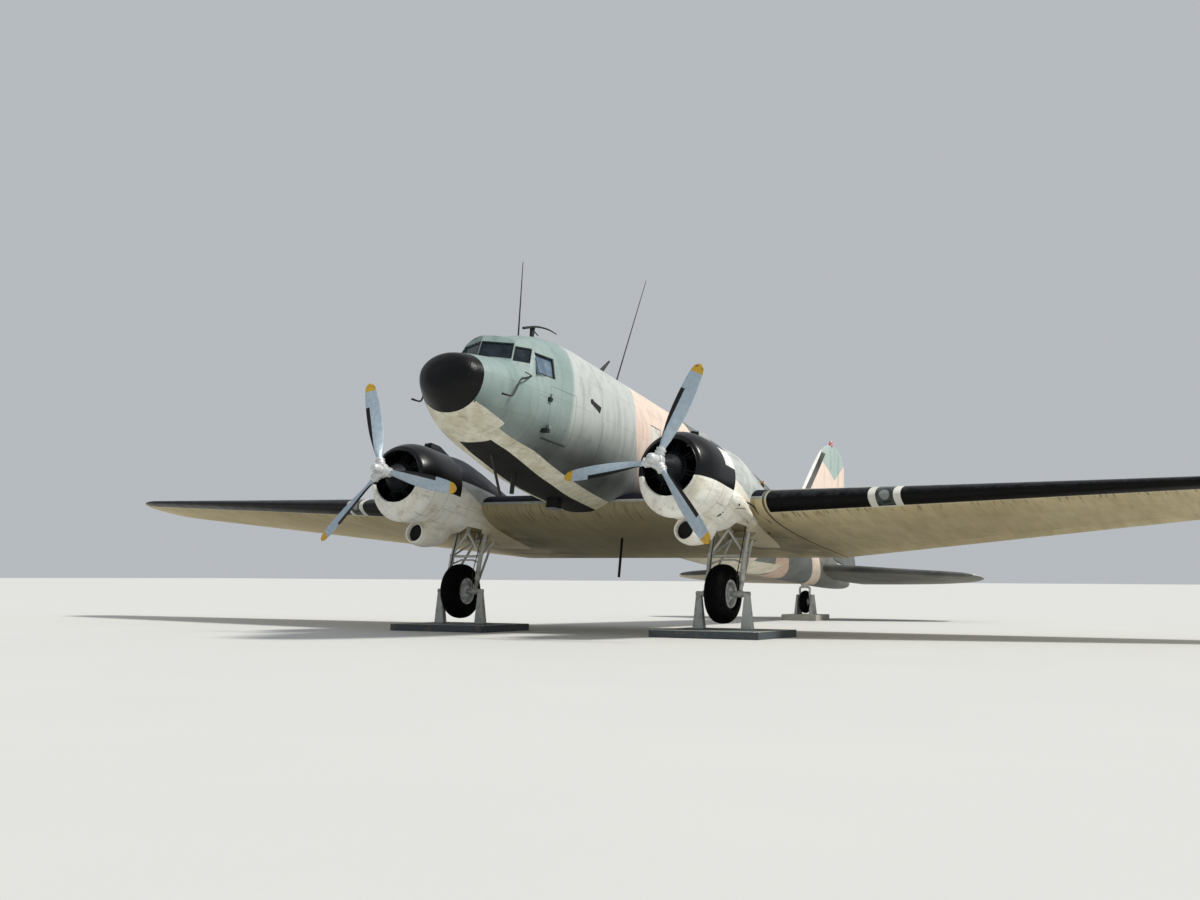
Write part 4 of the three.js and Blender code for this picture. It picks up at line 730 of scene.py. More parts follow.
cabin_outer = cabin_body(0, NOSE_JOINT + JOINT_GAP)
cabin_inner = cabin_body(WALL, *CABIN_BORE)
window_cuts = []
for k in range(WINDOWS["count"]):
    y0 = WINDOWS["first"] + k * WINDOWS["pitch"]
    y1 = y0 + WINDOWS["width"]
    window_cuts.append(("-", block(-2000, 2000, y0, y1, WINDOWS["low"], WINDOWS["high"])))
cabin = carved(twin(cabin_outer), ("-", twin(cabin_inner)), *window_cuts)
cabin_frame = cabin_body(LEAF_SKIN, *CABIN_BORE)
for name in ("cargo_door_front", "cargo_door_rear"):
    leaf, cabin = leaf_and_frame(name, cabin, cabin_outer, cabin_inner, cabin_frame)
    parks(leaf, name + "_leaf", airframe_paint, name, [name])
parks(cabin, "cabin_skin", airframe_paint, nodes=["cabin_shell"])
bpy.data.objects.remove(cabin_frame)

window_cover = starts("window cover")
level = level_place()[0]
stain = noise(level, 5, 5).past(0.55, 0.25)
ends(window_cover, mixed("d9d8d0", "9b978a", stain * 0.6), 0.6 + 0.2 * stain, noise(level, 20), 0.001)
for side in SIDES:
    dressed("window_blanks_" + side, window_cover)

# Tail cone: the skin drawn down to the rear, of the same riveted sheet, with the stabiliser
# carried through it and the rudder's foot behind. Holes take the pins of the rudder and elevators.
TAIL_END = 18880
STABILISER_Z = 660
RUDDER_Y, ELEVATOR_Y, ELEVATOR_X = 17700, 17280, 405
# Radius of the hinge pins, and how much wider their holes are
RUDDER_PIN, ELEVATOR_PIN, PIN_GAP = 16, 18, 0.8
cone = loft(hull(np.linspace(TAIL_JOINT + JOINT_GAP, TAIL_END, 90)))
hinge_pin = bar([[x, ELEVATOR_Y, STABILISER_Z] for x in (150, 400)], ELEVATOR_PIN + PIN_GAP, 24)
rudder_pin = bar([[0, RUDDER_Y, z] for z in (900, 1500)], RUDDER_PIN + PIN_GAP, 24, (0, 1, 0))
cone = carved(cone, ("-", twin(hinge_pin, mirror=True)), ("-", hinge_pin), ("-", rudder_pin))
parks(cone, "tail_cone_skin", airframe_paint, nodes=["tail_cone"])
for spare in (nose_outer, nose_inner, nose_frame, cabin_outer, cabin_inner):
    bpy.data.objects.remove(spare)

# Wings: a centre section of constant chord between the nacelles and two tapered outer panels,
# stressed skin over three spars. Cream underneath with dark streaks behind the rivets, faded grey
# on top, and black rubber boots stuck on the outer leading edges.
WING_LE = (4775, -140)
ROOT_CHORD = 4318
JOINT_X, TIP_X = 3660, 14555
SWEEP, DIHEDRAL, INCIDENCE = math.tan(math.radians(15.5)), math.tan(math.radians(5)), math.radians(3)
TRAILING_Y = WING_LE[0] + ROOT_CHORD * math.cos(INCIDENCE)
# Outer panel: x, chord cut off in front of and behind the straight taper, thickness share
PANEL = [
    [3660, 0, 0, 0.15],
    [8640, 0, 0, 0.125],
    [13700, 0, 0, 0.1],
    [14130, 60, 90, 0.095],
    [14400, 210, 300, 0.085],
    [14525, 430, 560, 0.07],
    [14555, 500, 700, 0.03],
]
AILERON_X = (8640, 13700)


def half_thickness(f):
    """The common four-digit thickness curve, as a share of its greatest thickness times chord."""
    return 5 * (0.2969 * np.sqrt(f) - 0.126 * f - 0.3516 * f**2 + 0.2843 * f**3 - 0.1015 * f**4)


def wing_rings(places, table=PANEL, grow=0):
    """Wing sections across the span: round the chord by cosine steps, a cambered middle line plus
    or minus the half thickness, turned to the wing's incidence."""
    rows = through(table, places) if len(table) > 1 else np.tile(table, (len(places), 1))
    front, back, thick = rows.T[1:, :, None]
    x = np.asarray(places, float)[:, None]
    out = np.maximum(0, x - JOINT_X)
    chord = ROOT_CHORD - out * SWEEP - front - back
    steps = 34
    f = (1 - np.cos(np.linspace(0, math.pi, steps))) / 2
    f = np.r_[f, f[:0:-1]][None]
    side = np.r_[np.ones(steps), -np.ones(steps - 1)][None]
    mean = 0.02 * np.where(f < 0.4, 5 * f - 6.25 * f**2, 10 * (0.2 + 0.8 * f - f**2) / 3.6)
    swell = np.where(f > 0, np.minimum(1, f * 30), 0) * grow
    rise = mean * chord + side * (half_thickness(f) * thick * chord + 5 * f + swell)
    reach = f * chord + np.where(f == 0, -grow, np.where(f == 1, grow, 0))
    c, s = math.cos(INCIDENCE), math.sin(INCIDENCE)
    y = WING_LE[0] + out * SWEEP + front + reach * c + rise * s
    z = WING_LE[1] + out * DIHEDRAL - front * 3 / 57 + rise * c - reach * s
    return np.stack([x + 0 * y, y, z], -1)


def wing_middle(x, y, below=0.0):
    """Level of the wing's middle line at a place, or of its underside if below is 1."""
    out = max(0, x - JOINT_X)
    chord = ROOT_CHORD - out * SWEEP
    reach = y - WING_LE[0] - out * SWEEP
    f = reach / chord
    rise = 0.02 * chord * 10 * (0.2 + 0.8 * f - f * f) / 3.6
    thick = 0.15 - 0.025 * out / (AILERON_X[0] - JOINT_X)
    tilt = math.tan(INCIDENCE)
    return WING_LE[1] + out * DIHEDRAL - reach * tilt + rise - below * half_thickness(f) * thick * chord


def on_hinge(a, b, droop=0.0):
    """A function that turns places along a hinge, aft of it and above it into level ones."""
    a, b = np.asarray(a, float), np.asarray(b, float)
    along = (b - a) / np.linalg.norm(b - a)
    aft = np.array([0, 1, 0]) - along * along[1]
    aft /= np.linalg.norm(aft)
    up = np.cross(along, aft)
    c, s = math.cos(droop), math.sin(droop)
    frame_of = np.stack([along, aft * c - up * s, up * c + aft * s])
    return lambda places: np.asarray(places, float) @ frame_of + a


def hinge_block(at, x0, x1, back):
    """A cutting block between two places along a hinge, from its line to so far aft."""
    ring = np.array([[x0, 0, -1500], [x0, back, -1500], [x0, back, 1500], [x0, 0, 1500]])
    return loft([at(ring), at(ring + [x1 - x0, 0, 0])])


def hinge_cone(at, x0, x1, r0, r1, sides=40):
    """A round body about a hinge's line, between two places with a radius at each."""
    c, s = circle(sides)
    return loft([at(np.c_[np.full(sides, x), r * c, r * s]) for x, r in ((x0, r0), (x1, r1))])


COVE_SHARE = 0.06  # a cove clears its nose by this share of the radius, besides the gap


def hinged(body, a, b, r0, r1, depth, pin, pin_length):
    """Splits a body at a hinge line: the moving part behind it with a round nose and pins, and
    the fixed part with a hollow cove that clears the nose."""
    at = on_hinge(a, b)
    length = np.linalg.norm(np.subtract(b, a))
    gap = SWING_GAP
    lean = (r1 - r0) / length
    nose = hinge_cone(at, gap, length - gap, r0 + lean * gap, r1 - lean * gap)
    moving = carved(twin(body), ("&", hinge_block(at, gap, length - gap, depth)))
    rod = hinge_cone(at, -pin_length, length + pin_length, pin, pin, 16)
    moving = carved(moving, ("+", nose), ("+", rod))
    wide = gap + COVE_SHARE * max(r0, r1)
    cove = hinge_cone(at, 0, length, r0 + wide, r1 + wide)
    bore = pin + PIN_GAP
    holes = hinge_cone(at, -pin_length - 2, length + pin_length + 2, bore, bore, 24)
    fixed = carved(body, ("-", hinge_block(at, 0, length, depth)), ("-", cove), ("-", holes))
    return fixed, moving


# Split flap: thickness of its plate and depth of its room, radius of its bead, tilt of its plane
PLATE_THICK, PLATE_ROOM, BEAD, FLAP_TILT = 12, 19, 16, math.radians(6)


def split_flap(wing, a, b, chord_a, chord_b):
    """A flap plate taken out of the underside ahead of the trailing edge, with a bead along its
    hinge, and the wing with the plate's room cut out of it."""
    at = on_hinge(a, b, FLAP_TILT)
    length = np.linalg.norm(np.subtract(b, a))

    def slab(x0, x1, high, grow):
        """The room under a height between two places: it starts so far ahead of the hinge and
        ends behind the trailing edge, a little lower."""
        rings = []
        for x in (x0, x1):
            edge = chord_a + (chord_b - chord_a) * x / length
            top = [[-grow, high + 10], [edge, high - 2], [edge + 200, high - 4]]
            rings.append(at(np.c_[np.full(5, x), [[-grow, -300], *top, [edge + 200, -300]]]))
        return loft(rings)

    gap = SWING_GAP
    plate = carved(twin(wing), ("&", slab(gap, length - gap, PLATE_THICK, -gap)))
    plate = carved(plate, ("+", hinge_cone(at, gap, length - gap, BEAD, BEAD, 20)))
    groove = hinge_cone(at, 0, length, BEAD + PIN_GAP, BEAD + PIN_GAP, 24)
    return carved(wing, ("-", slab(0, length, PLATE_ROOM, 0)), ("-", groove)), plate


def flap_line(x, y):
    """A place on a flap's hinge line, just above the wing's underside."""
    return [x, y, wing_middle(x, y, below=1.0) + 8]


wing_paint = starts("wing paint")
level, x, y, z = level_place()
span = abs(x)
out = (span - JOINT_X / 1000).sum("MAXIMUM", 0)
aft = y - WING_LE[0] / 1000 - out * SWEEP
middle_z = WING_LE[1] / 1000 + out * DIHEDRAL - aft * math.tan(INCIDENCE)
top = (z - middle_z).past(0.0, 0.008)
chordwise = Wire.node("Mapping", {}, {"Vector": level, "Scale": (3.0, 0.5, 1.0)})
streak = noise(chordwise, 2.2, 6, 0.6).past(0.52, 0.4)
soot = noise(level, 0.5, 4).past(0.5, 0.45)
behind_engine = span.near(2.82, 1.0, 0.9) * aft.past(0.8, 1.2)
bottom = mixed(mixed("cdbf9a", "b9a983", soot), "978a69", streak * 0.4)
bottom = mixed(bottom, "5a5440", behind_engine * (0.25 + 0.5 * noise(level, 1.6, 5).past(0.5, 0.4)))
# Short dark runs under the leading edge, where water has drawn the dirt back from the boot
drips = Wire.node("Mapping", {}, {"Vector": level, "Scale": (14.0, 1.2, 1.0)})
drips = noise(drips, 1.6, 3).past(0.6, 0.1) * (1 - (aft - 0.25).past(0.25, 0.4))
bottom = mixed(bottom, "4a4434", drips * 0.6)
above = mixed(mixed("a4a89f", "8b908a", soot), "5a5e58", streak * 0.4)
paint = mixed(bottom, above, top)
# Between the nacelles the leading edge is a dark blue-black above; the centre's underside darkens towards
# the fuselage
inner_part = 1 - out.past(0.02, 0.02)
inner_dark = inner_part * (1 - aft.past(0.55, 0.02)) * (z - middle_z).past(0.055, 0.01)
paint = mixed(paint, "11161f", inner_dark)
paint = mixed(paint, "6e6850", inner_part * (1 - span.past(2.2, 0.8)) * (1 - top) * 0.6)
# Outer leading edge: a black rubber boot, broken by a landing light between two white bands
boot = out.past(0.10, 0.01) * (1 - aft.past(0.24, 0.012)) * (1 - span.past(14.2, 0.01))
LAMP_X = 5.71
off_light = abs(span - LAMP_X).past(0.265, 0.008)
dusty = noise(level, 9, 5).past(0.5, 0.3) * (z - middle_z).past(0.02, 0.1)
paint = mixed(paint, mixed("030304", "2c2d2f", dusty * 0.6), boot * off_light)
band = (1 - off_light) * (1 - aft.past(0.26, 0.008)) * out.past(0.1, 0.01)
paint = mixed(paint, mixed("e4e2da", "b5b1a4", soot), band)
# A pale line just behind the boot: a painted highlight along its rear edge
boot_edge_highlight = aft.near(0.262, 0.008) * out.past(0.1, 0.01) * (1 - span.past(14.2, 0.01))
paint = mixed(paint, "d9d4c2", boot_edge_highlight * 0.7)
ribs = seams(level, span, 0.76, 0.002)
spars = abs(aft - 1.05).past(0.003, 0.003) * abs(aft - 2.2).past(0.003, 0.003)
joint = span.near(3.71, 0.02, 0.006)
lines = ribs.sum("MAXIMUM", (1 - spars) * 0.8)
paint = mixed(paint, "4d4634", (lines * 0.5).sum("MAXIMUM", joint * 0.85) * (1 - boot))
rows = (span % 0.19).near(0.095, 0.004, 0.003) * (y % 0.045).near(0.0225, 0.006)
ends(
    wing_paint,
    mixed(paint, "3f3c33", rows * (1 - boot) * 0.25),
    0.66 - 0.32 * boot + 0.1 * streak,
    1 - lines + joint + 0.4 * rows + 0.1 * noise(level, 1.4, 2) + 0.3 * boot,
    0.0025,
    Specular_IOR_Level=0.12,
)

CENTRE = [[0, 0, 0, 0.15]]
FLAP_CHORD, FLAP_TIP_CHORD = 760, 560
centre_wing = loft(wing_rings(np.linspace(JOINT_GAP - JOINT_X, JOINT_X - JOINT_GAP, 25), CENTRE))
flap_y = TRAILING_Y - FLAP_CHORD
hinge_ends = [flap_line(x, flap_y) for x in (-3620, 3620)]
centre, flap = split_flap(centre_wing, *hinge_ends, FLAP_CHORD, FLAP_CHORD)
parks(centre, "wing_centre_skin", wing_paint, nodes=["wing_centre"])
parks(flap, "flap_centre_plate", wing_paint, "flap_centre", ["flap_centre"])

tip_x = np.r_[np.linspace(JOINT_X, 13700, 40), np.linspace(13740, 14500, 22), 14520, 14538, 14550, TIP_X]
panel = loft(wing_rings(tip_x))
AILERON_CHORDS = (500, 330)
hinge_at = [(x, TRAILING_Y - chord) for x, chord in zip(AILERON_X, AILERON_CHORDS)]
panel, aileron = hinged(panel, *[[x, y, wing_middle(x, y)] for x, y in hinge_at], 77, 42.5, 900, 12, 45)
hinge_ends = [flap_line(JOINT_X + 60, flap_y), flap_line(AILERON_X[0] - 70, TRAILING_Y - FLAP_TIP_CHORD)]
panel, plate = split_flap(panel, *hinge_ends, FLAP_CHORD, FLAP_TIP_CHORD)
both_sides(panel, "wing_{}_skin", wing_paint, node="wing_{}")
both_sides(plate, "flap_{}_plate", wing_paint, "flap_{}", "flap_{}")
both_sides(aileron, "aileron_{}_skin", wing_paint, "aileron_{}", "aileron_{}")

# Landing lights: a curved clear cover over a bay in each outer leading edge, between the two white bands,
# with a round lamp inside. Both are painted on the cover: the bay dark as painted shade, the lamp a paler
# spot of painted reflection.
LAMP_Z, LAMP_R = 0.03, 0.085
lamp_glass = starts("lamp glass")
level, x, _, z = level_place()
behind = noise(level, 9, 4).past(0.5, 0.3)
across, rise = abs(x) - LAMP_X, z - LAMP_Z
bowl = (across * across + rise * rise) ** 0.5
lamp_reflection = (1 - bowl.past(LAMP_R, 0.03)) * 0.6
paint = mixed(mixed("0b100f", "39443f", behind), "8d9693", lamp_reflection)
ends(lamp_glass, paint, 0.08 + 0.1 * behind, noise(level, 3), 0.001)
cover = loft(wing_rings(np.linspace(5565, 5855, 16), grow=2.5))
edges = [(x, WING_LE[0] + (x - JOINT_X) * SWEEP) for x in (5500, 5920)]
outline = np.array([[0, -300, -700], [0, 228, -700], [0, 228, 900], [0, -300, 900]])
cover = carved(cover, ("&", loft([outline + [x, y, 0] for x, y in edges])))
both_sides(cover, "landing_light_cover_{}", lamp_glass)

# Tail surfaces: a fabric-covered rudder and elevators behind a metal fin and stabiliser. The fin
# is tan with a pale green cap and a black boot; the stabiliser is grey on top and tan underneath.

# Fin and stabiliser: place along the span, leading edge, trailing edge, thickness
FIN = [
    [900, 14000, 17900, 150],
    [1190, 14000, 19330, 190],
    [1320, 14050, 19419, 200],
    [1560, 14150, 19290, 210],
    [1760, 14650, 19140, 225],
    [2120, 15120, 18890, 225],
    [2620, 15500, 18560, 205],
    [3200, 15960, 18300, 170],
    [3660, 16380, 18190, 130],
    [3920, 16700, 18010, 90],
    [4040, 17000, 17760, 60],
    [4075, 17200, 17560, 30],
]
PLANE = [
    [0, 15560, 18330, 250],
    [300, 15640, 18330, 250],
    [1500, 16020, 18320, 215],
    [2700, 16410, 18210, 175],
    [3400, 16650, 18010, 155],
    [3750, 16800, 17820, 124],
    [3950, 16960, 17620, 85],
    [4064, 17150, 17420, 40],
]


def tail_rings(rows, places, upright):
    """Symmetric sections across a tail surface, round each chord by cosine steps."""
    steps = 26
    u, front, back, thick = through(rows, places).T[:, :, None]
    f = (1 - np.cos(np.linspace(0, math.pi, steps))) / 2
    f = np.r_[f, f[-2:0:-1]][None]
    side = np.r_[np.ones(steps), -np.ones(steps - 2)][None]
    across = side * (half_thickness(f) * thick + 0.03 * thick * f)
    along = front + (back - front) * f
    if upright:
        return np.stack([across, along, u + 0 * f], -1)
    return np.stack([u + 0 * f, along, STABILISER_Z + across], -1)


fin_paint = starts("fin paint")
level, _, y, z = level_place()
warp = (noise(level, 0.9, 2) - 0.5) * 0.12
# The pale green cap: behind a slanted front edge, above a line that falls aft and then climbs
cap = y.past(16.5, 0.03) * (z + 0.37 * (y - 16.55) - 3.5 + warp).past(0, 0.03)
cap = cap * (z - 0.77 * (y - 17.45) - 3.22 + warp).past(0, 0.03)
tone = mixed("e5cfc0", "9db0ab", cap.sum("MAXIMUM", z.past(3.9, 0.03)))
tone = mixed(tone, DARK_GREY, 1 - (z - 0.12 * (y - 16)).past(1.6, 0.03))
# The rubber boot on the leading edge, with a pale line in front of it
lead = y - 15.12 - 0.818 * (z - 2.12)
tone = mixed(tone, "0c0d0e", z.past(1.98, 0.02) * (1 - z.past(3.74, 0.02)) * (1 - lead.past(0.27, 0.01)))
tone = mixed(tone, "e9e8e2", z.past(1.98, 0.02) * (1 - lead.past(0.05, 0.008)))
tapes = seams(level, z, 0.30, 0.003)
paint = mixed(weathered(level, tone, 0.5), "3e4340", tapes * 0.3)
ends(fin_paint, paint, 0.7, (1 - tapes) * 0.5 + 0.12 * noise(level, 2.2, 2), 0.003)

plane_paint = starts("stabiliser paint")
level, x, y, z = level_place()
upper = (z - STABILISER_Z / 1000).past(0.0, 0.02)
# Underneath: tan, darker on the port half as painted shade; grey on top
tone = mixed(mixed("c4b59c", "57554a", x.past(0, 0.1)), "a2a7a3", upper)
lead = y - abs(x) * 0.3 - 15.56
tone = mixed(tone, "0d0e0f", 1 - lead.past(0.2, 0.01))
tone = mixed(tone, "e0dfd8", lead.near(0.21, 0.012) * upper)
tapes = seams(level, abs(x), 0.30, 0.003)
paint = mixed(weathered(level, tone, 0.5), "3e4340", tapes * 0.3)
ends(plane_paint, paint, 0.7, (1 - tapes) * 0.5 + 0.12 * noise(level, 2.2, 2), 0.003)

foot = through(HULL, RUDDER_Y)[0, 5] + 45
fin_u = np.r_[np.linspace(900, 3920, 60), np.linspace(3950, 4075, 10)]
blade = loft(tail_rings(FIN, fin_u, True))
outline = [[17400, 800], [20000, 800], [20000, 1010], [18900, 1010], [17620, foot], [17400, foot]]
under_rudder = loft([np.c_[np.full(6, x), outline] for x in (-600, 600)])
blade = carved(blade, ("-", under_rudder))
fin, rudder = hinged(blade, [0, RUDDER_Y, foot + 10], [0, RUDDER_Y, 3880], 88, 34, 2200, RUDDER_PIN, 60)
fin = carved(fin, ("-", block(-200, 200, RUDDER_Y - 130, 20000, 0, foot + 16)))
parks(fin, "fin_skin", fin_paint, nodes=["fin"])
parks(rudder, "rudder_skin", fin_paint, "rudder", ["rudder"])

beacon_red = starts("beacon red")
level = level_place()[0]
red = mixed("b8474a", "d98a86", noise(level, 30, 3))
ends(beacon_red, red, 0.2, noise(level, 60), 0.0005, Coat_Weight=0.5)
# Beacon on the fin: level, radius
BEACON_Y = 17180
BEACON = [[4040, 54], [4075, 54], [4082, 50], [4150, 48], [4180, 34], [4189, 8]]
path = [[0, BEACON_Y, level] for level, _ in BEACON]
parks(bar(path, [r for _, r in BEACON], 28, (0, 1, 0)), "fin_beacon", beacon_red)

plane_u = np.r_[np.linspace(0, 3750, 50), np.linspace(3780, 4064, 14)]
half = loft(tail_rings(PLANE, plane_u, False))
line = [[ELEVATOR_X, ELEVATOR_Y, STABILISER_Z], [3560, ELEVATOR_Y, STABILISER_Z]]
half, elevator = hinged(half, *line, 98, 72, 1400, ELEVATOR_PIN, 70)
# Room for the tail cone and the rudder inboard of the elevator, apart from its pin
inner_x = ELEVATOR_X - 1
plan = np.array([[-10, 17150], [inner_x, 17150], [inner_x, 17450], [730, 18500], [-10, 18500]])
room = loft([np.c_[plan, np.full(5, z)] for z in (0, 2000)])
room = carved(room, ("-", block(-10, ELEVATOR_X + 1, ELEVATOR_Y - 25, ELEVATOR_Y + 25, 0, 2000)))
elevator = carved(elevator, ("-", room))
half = carved(half, ("-", block(-10, ELEVATOR_X + 2, ELEVATOR_Y - 100, 19000, 0, 2000)))
both_sides(half, "stabiliser_{}_skin", plane_paint, node="stabiliser")
both_sides(elevator, "elevator_{}_skin", plane_paint, "elevator_{}", "elevator_{}")

# Engine cowls: a spun aluminium ring round each engine with a deep chin, black above and inside
# its lip, cream below, with rows of fasteners and adjustable gills round its rear edge.
ENGINE_X, PROP_Y = 2820, 2400
COWL_OUTSIDE = [
    [2855, 520, 20],
    [2885, 570, 70],
    [2950, 612, 118],
    [3060, 662, 130],
    [3180, 696, 105],
    [3340, 716, 55],
    [3600, 722, 20],
    [3970, 722, 15],
]
COWL_INSIDE = [
    [2845, 512, 0],
    [2875, 487, 0],
    [2930, 500, 10],
    [3010, 600, 80],
    [3100, 652, 95],
    [3340, 698, 35],
    [3970, 706, 8],
]


def round_rings(rows):
    """Rings about the engine's line: a radius, and below the line a chin that grows with the
    square of the sine."""
    y, r, chin = np.asarray(rows, float).T[:, :, None]
    c, s = circle(96)
    reach = r + chin * np.minimum(0, s) ** 2
    return np.stack([ENGINE_X + reach * c, y + 0 * reach, reach * s], -1)


cowl_paint = starts("cowl paint")
level, x, y, z = level_place()
across = abs(x) - ENGINE_X / 1000
turn = z.sum("ARCTAN2", across)
mottle = noise(level, 7, 5, 0.65)
black = mixed("030304", "1c1d1e", mottle.past(0.62, 0.16) * 0.5)
cream_low = mixed("f1efe6", "c3b798", noise(level, 2.6, 5).past(0.6, 0.35) * 0.7)
lower = 1 - (z + 0.145 + 0.02 * (y - 2.86)).past(0, 0.008)
aft_part = y.past(3.60, 0.006)
gill_white = aft_part * z.past(0.20, 0.006) * (1 - z.past(0.52, 0.006)) * across.past(0, 0.02)
paint = mixed(black, mixed("efeee8", "9b9c97", mottle.past(0.6, 0.1) * 0.4), gill_white)
paint = mixed(paint, cream_low, lower)
front_lip = (1 - y.past(2.872, 0.008)) * (1 - lower)
paint = mixed(paint, "070708", front_lip)
panel_lines = abs(y - 3.60).past(0.003, 0.003) * abs(y - 3.2).past(0.0025, 0.003)
gills = 1 - (turn % 0.449).near(0.2245, 0.004) * aft_part
lines = 1 - panel_lines * gills
fasteners = y.near(3.59, 0.006, 0.003) * (turn % 0.07).near(0.035, 0.008, 0.006)
streaked = Wire.node("Mapping", {}, {"Vector": level, "Scale": (4.0, 0.5, 4.0)})
oil = noise(streaked, 2.5, 6, 0.7).past(0.62, 0.25)
paint = mixed(paint, "6d6148", oil * lower * 0.5)
ends(
    cowl_paint,
    mixed(paint, "22221f", lines * 0.8 + fasteners * 0.3),
    0.24 + 0.3 * lower + 0.15 * mottle,
    1 - lines + 0.4 * fasteners + 0.08 * noise(level, 4, 2) + 0.03 * noise(level, 70, 2),
    0.004,
    Coat_Weight=0.12,
    Coat_Roughness=0.2,
    Specular_IOR_Level=0.25,
)
# Black for soot, and for painted shade in openings and recesses
soot_and_shade_black = starts("sooty and shaded inside")
level = level_place()[0]
ends(soot_and_shade_black, mixed("030303", "0c0b0a", noise(level, 6, 4)), 0.9, noise(level, 40), 0.001)

crowding = np.linspace(0, 1, 40) ** 1.7  # places bunch up round the lip
outside, inside = [
    through(rows, rows[0][0] + (rows[-1][0] - rows[0][0]) * crowding)
    for rows in (COWL_OUTSIDE, COWL_INSIDE)
]
inside = inside[::-1]
cowl = loft(round_rings(np.vstack([outside, inside])), wrap=True)
film = inside[:-6]
liner = loft(round_rings(np.vstack([film - [0, 0.8, 0], film[::-1] - [0, 3, 0]])), wrap=True)
both_sides(liner, "cowl_liner_{}", soot_and_shade_black)
both_sides(cowl, "cowl_ring_{}", cowl_paint, node="cowl_{}")

# Engines: fourteen finned cylinders in two rows on a grey crankcase, with two push rod tubes in front of
# each and a wiring ring round the nose case. They are painted near black, for oil and for painted shade
# inside the cowl.
engine_metal = starts("engine metal")
level, _, y, _ = level_place()
grime = noise(level, 9, 6, 0.7).past(0.5, 0.25)
case = 1 - y.past(3.06, 0.02)
ends(
    engine_metal,
    mixed(mixed("08090a", "20252a", case * 0.75), "0a0908", grime * 0.7),
    0.5 + 0.25 * grime,
    noise(level, 60, 3),
    0.001,
    Metallic=0.3,
    Specular_IOR_Level=0.3,
)


def turned(profile, centre, axis="y", count=64, wrap=False):
    """A profile of radius and distance carried round a line along y or x through a centre."""
    radius, along = np.asarray(profile, float).T[:, :, None]
    u, v = [radius * turn for turn in circle(count)]
    order = (u, along + 0 * u, v) if axis == "y" else (along + 0 * u, u, v)
    return loft(np.stack(order, -1) + np.asarray(centre, float), wrap)


def spoke(turn, start, end, radius, y):
    """A round post outwards from the engine's line, its radius a list from foot to head."""
    out = np.array([math.sin(turn), 0, math.cos(turn)])
    reach = np.linspace(start, end, len(radius))[:, None]
    return bar(np.array([ENGINE_X, y, 0]) + reach * out, radius, 20, (0, 1, 0))


# Radius, distance aft: crankcase and nose case, wiring ring, and the baffle behind the cylinders
CRANKCASE = [
    [0, 2524], [60, 2525], [72, 2560], [150, 2700], [232, 2860],
    [285, 3060], [300, 3500], [420, 3640], [420, 3849], [0, 3849],
]
WIRING_RING = [[250, 2930], [272, 2915], [285, 2930], [272, 2945]]
BAFFLE = [[580, 3260], [697.5, 3340], [580, 3340]]
ROWS_AT, CYLINDERS = (3170, 3400), 7
fins = np.tile([82, 82, 66, 66], 13)
engine_line = (ENGINE_X, 0, 0)
parts = [turned(CRANKCASE, engine_line), turned(WIRING_RING, engine_line, wrap=True)]
for row, row_y in enumerate(ROWS_AT):
    for k in range(CYLINDERS):
        turn = (k + row / 2) * 2 * math.pi / CYLINDERS
        parts.append(spoke(turn, 300, 600, fins, row_y))
        parts.append(spoke(turn, 560, 608, [70, 78, 60], row_y))
        for lean in (-0.09, 0.09):
            path = [[250, 2960 + 120 * row], [590, row_y - 75]]
            across = np.array([math.sin(turn + lean), 0, math.cos(turn + lean)])
            points = [np.array([ENGINE_X, level_y, 0]) + across * r for r, level_y in path]
            parts.append(bar(points, 11, 8, (0, 1, 0)))
parts.append(turned(BAFFLE, engine_line, wrap=True, count=96))
both_sides(merged(*parts), "engine_block_{}", engine_metal, node="engine_{}")

# Nacelles: sheet fairings behind the cowls that run back over and under the wing, grey above and
# cream below, with the wheel's bay open underneath and a square intake on top of the cowl.
FIREWALL = 3850
NACELLE = [
    [3850, 640, -640, 640],
    [3990, 652, -655, 652],
    [4090, 682, -690, 700],
    [4500, 684, -735, 722],
    [5000, 640, -740, 660],
    [5300, 600, -740, 612],
    [6000, 480, -690, 480],
    [6800, 340, -600, 330],
    [7500, 180, -480, 190],
    [7900, 60, -400, 30],
]
# Intake: aft, foot, top, half width; and its four corners as shares of the half width and the rise
SCOOP = [[3720, 738, 850, 98], [3978, 738, 852, 104], [4030, 500, 842, 104], [4480, 450, 700, 90]]
SCOOP_CORNERS = ((-1, 0), (1, 0), (0.8, 1), (-0.8, 1))
# Wheel bay in three steps: half width, start and end
BAYS = ((470, 4660, 5250), (400, 5240, 5720), (262, 5700, 6080))

nacelle_paint = starts("nacelle paint")
level, x, y, z = level_place()
across = abs(x) - ENGINE_X / 1000
inner = 1 - across.past(0, 0.05)
soot = noise(level, 1.8, 5, 0.6).past(0.48, 0.35)
upper = mixed("c9cdcb", "aab0ae", soot)
upper = mixed(upper, "141a26", inner * z.past(0.16, 0.03))
lower = mixed("f4f2ea", "c4b998", soot * 0.5)
division = 0.07 - 0.3 * (y - 4.0).sum("MAXIMUM", 0)
under_wing = y.past(5.2, 0.9) * (1 - z.past(-0.12, 0.08))
paint = mixed(lower, upper, (z - division).past(0, 0.015) * (1 - under_wing))
paint = mixed(paint, "beb08b", under_wing * 0.85)
exhaust_stain = across.near(0.5, 0.25, 0.3) * (1 - z.past(-0.1, 0.3)) * y.past(4.6, 0.8)
paint = mixed(paint, "5a5140", exhaust_stain * 0.2)
streaked = Wire.node("Mapping", {}, {"Vector": level, "Scale": (3.5, 0.45, 3.5)})
paint = mixed(paint, "7a705a", noise(streaked, 2.4, 6, 0.7).past(0.6, 0.25) * 0.4)
lines = seams(level, y, 0.46, 0.0025).sum("MAXIMUM", z.near(-0.32, 0.0025) * 0.8)
ends(
    nacelle_paint,
    mixed(paint, "3c3a34", lines * 0.6),
    0.6,
    1 - lines + 0.1 * noise(level, 3, 2),
    0.0025,
    Specular_IOR_Level=0.35,
)


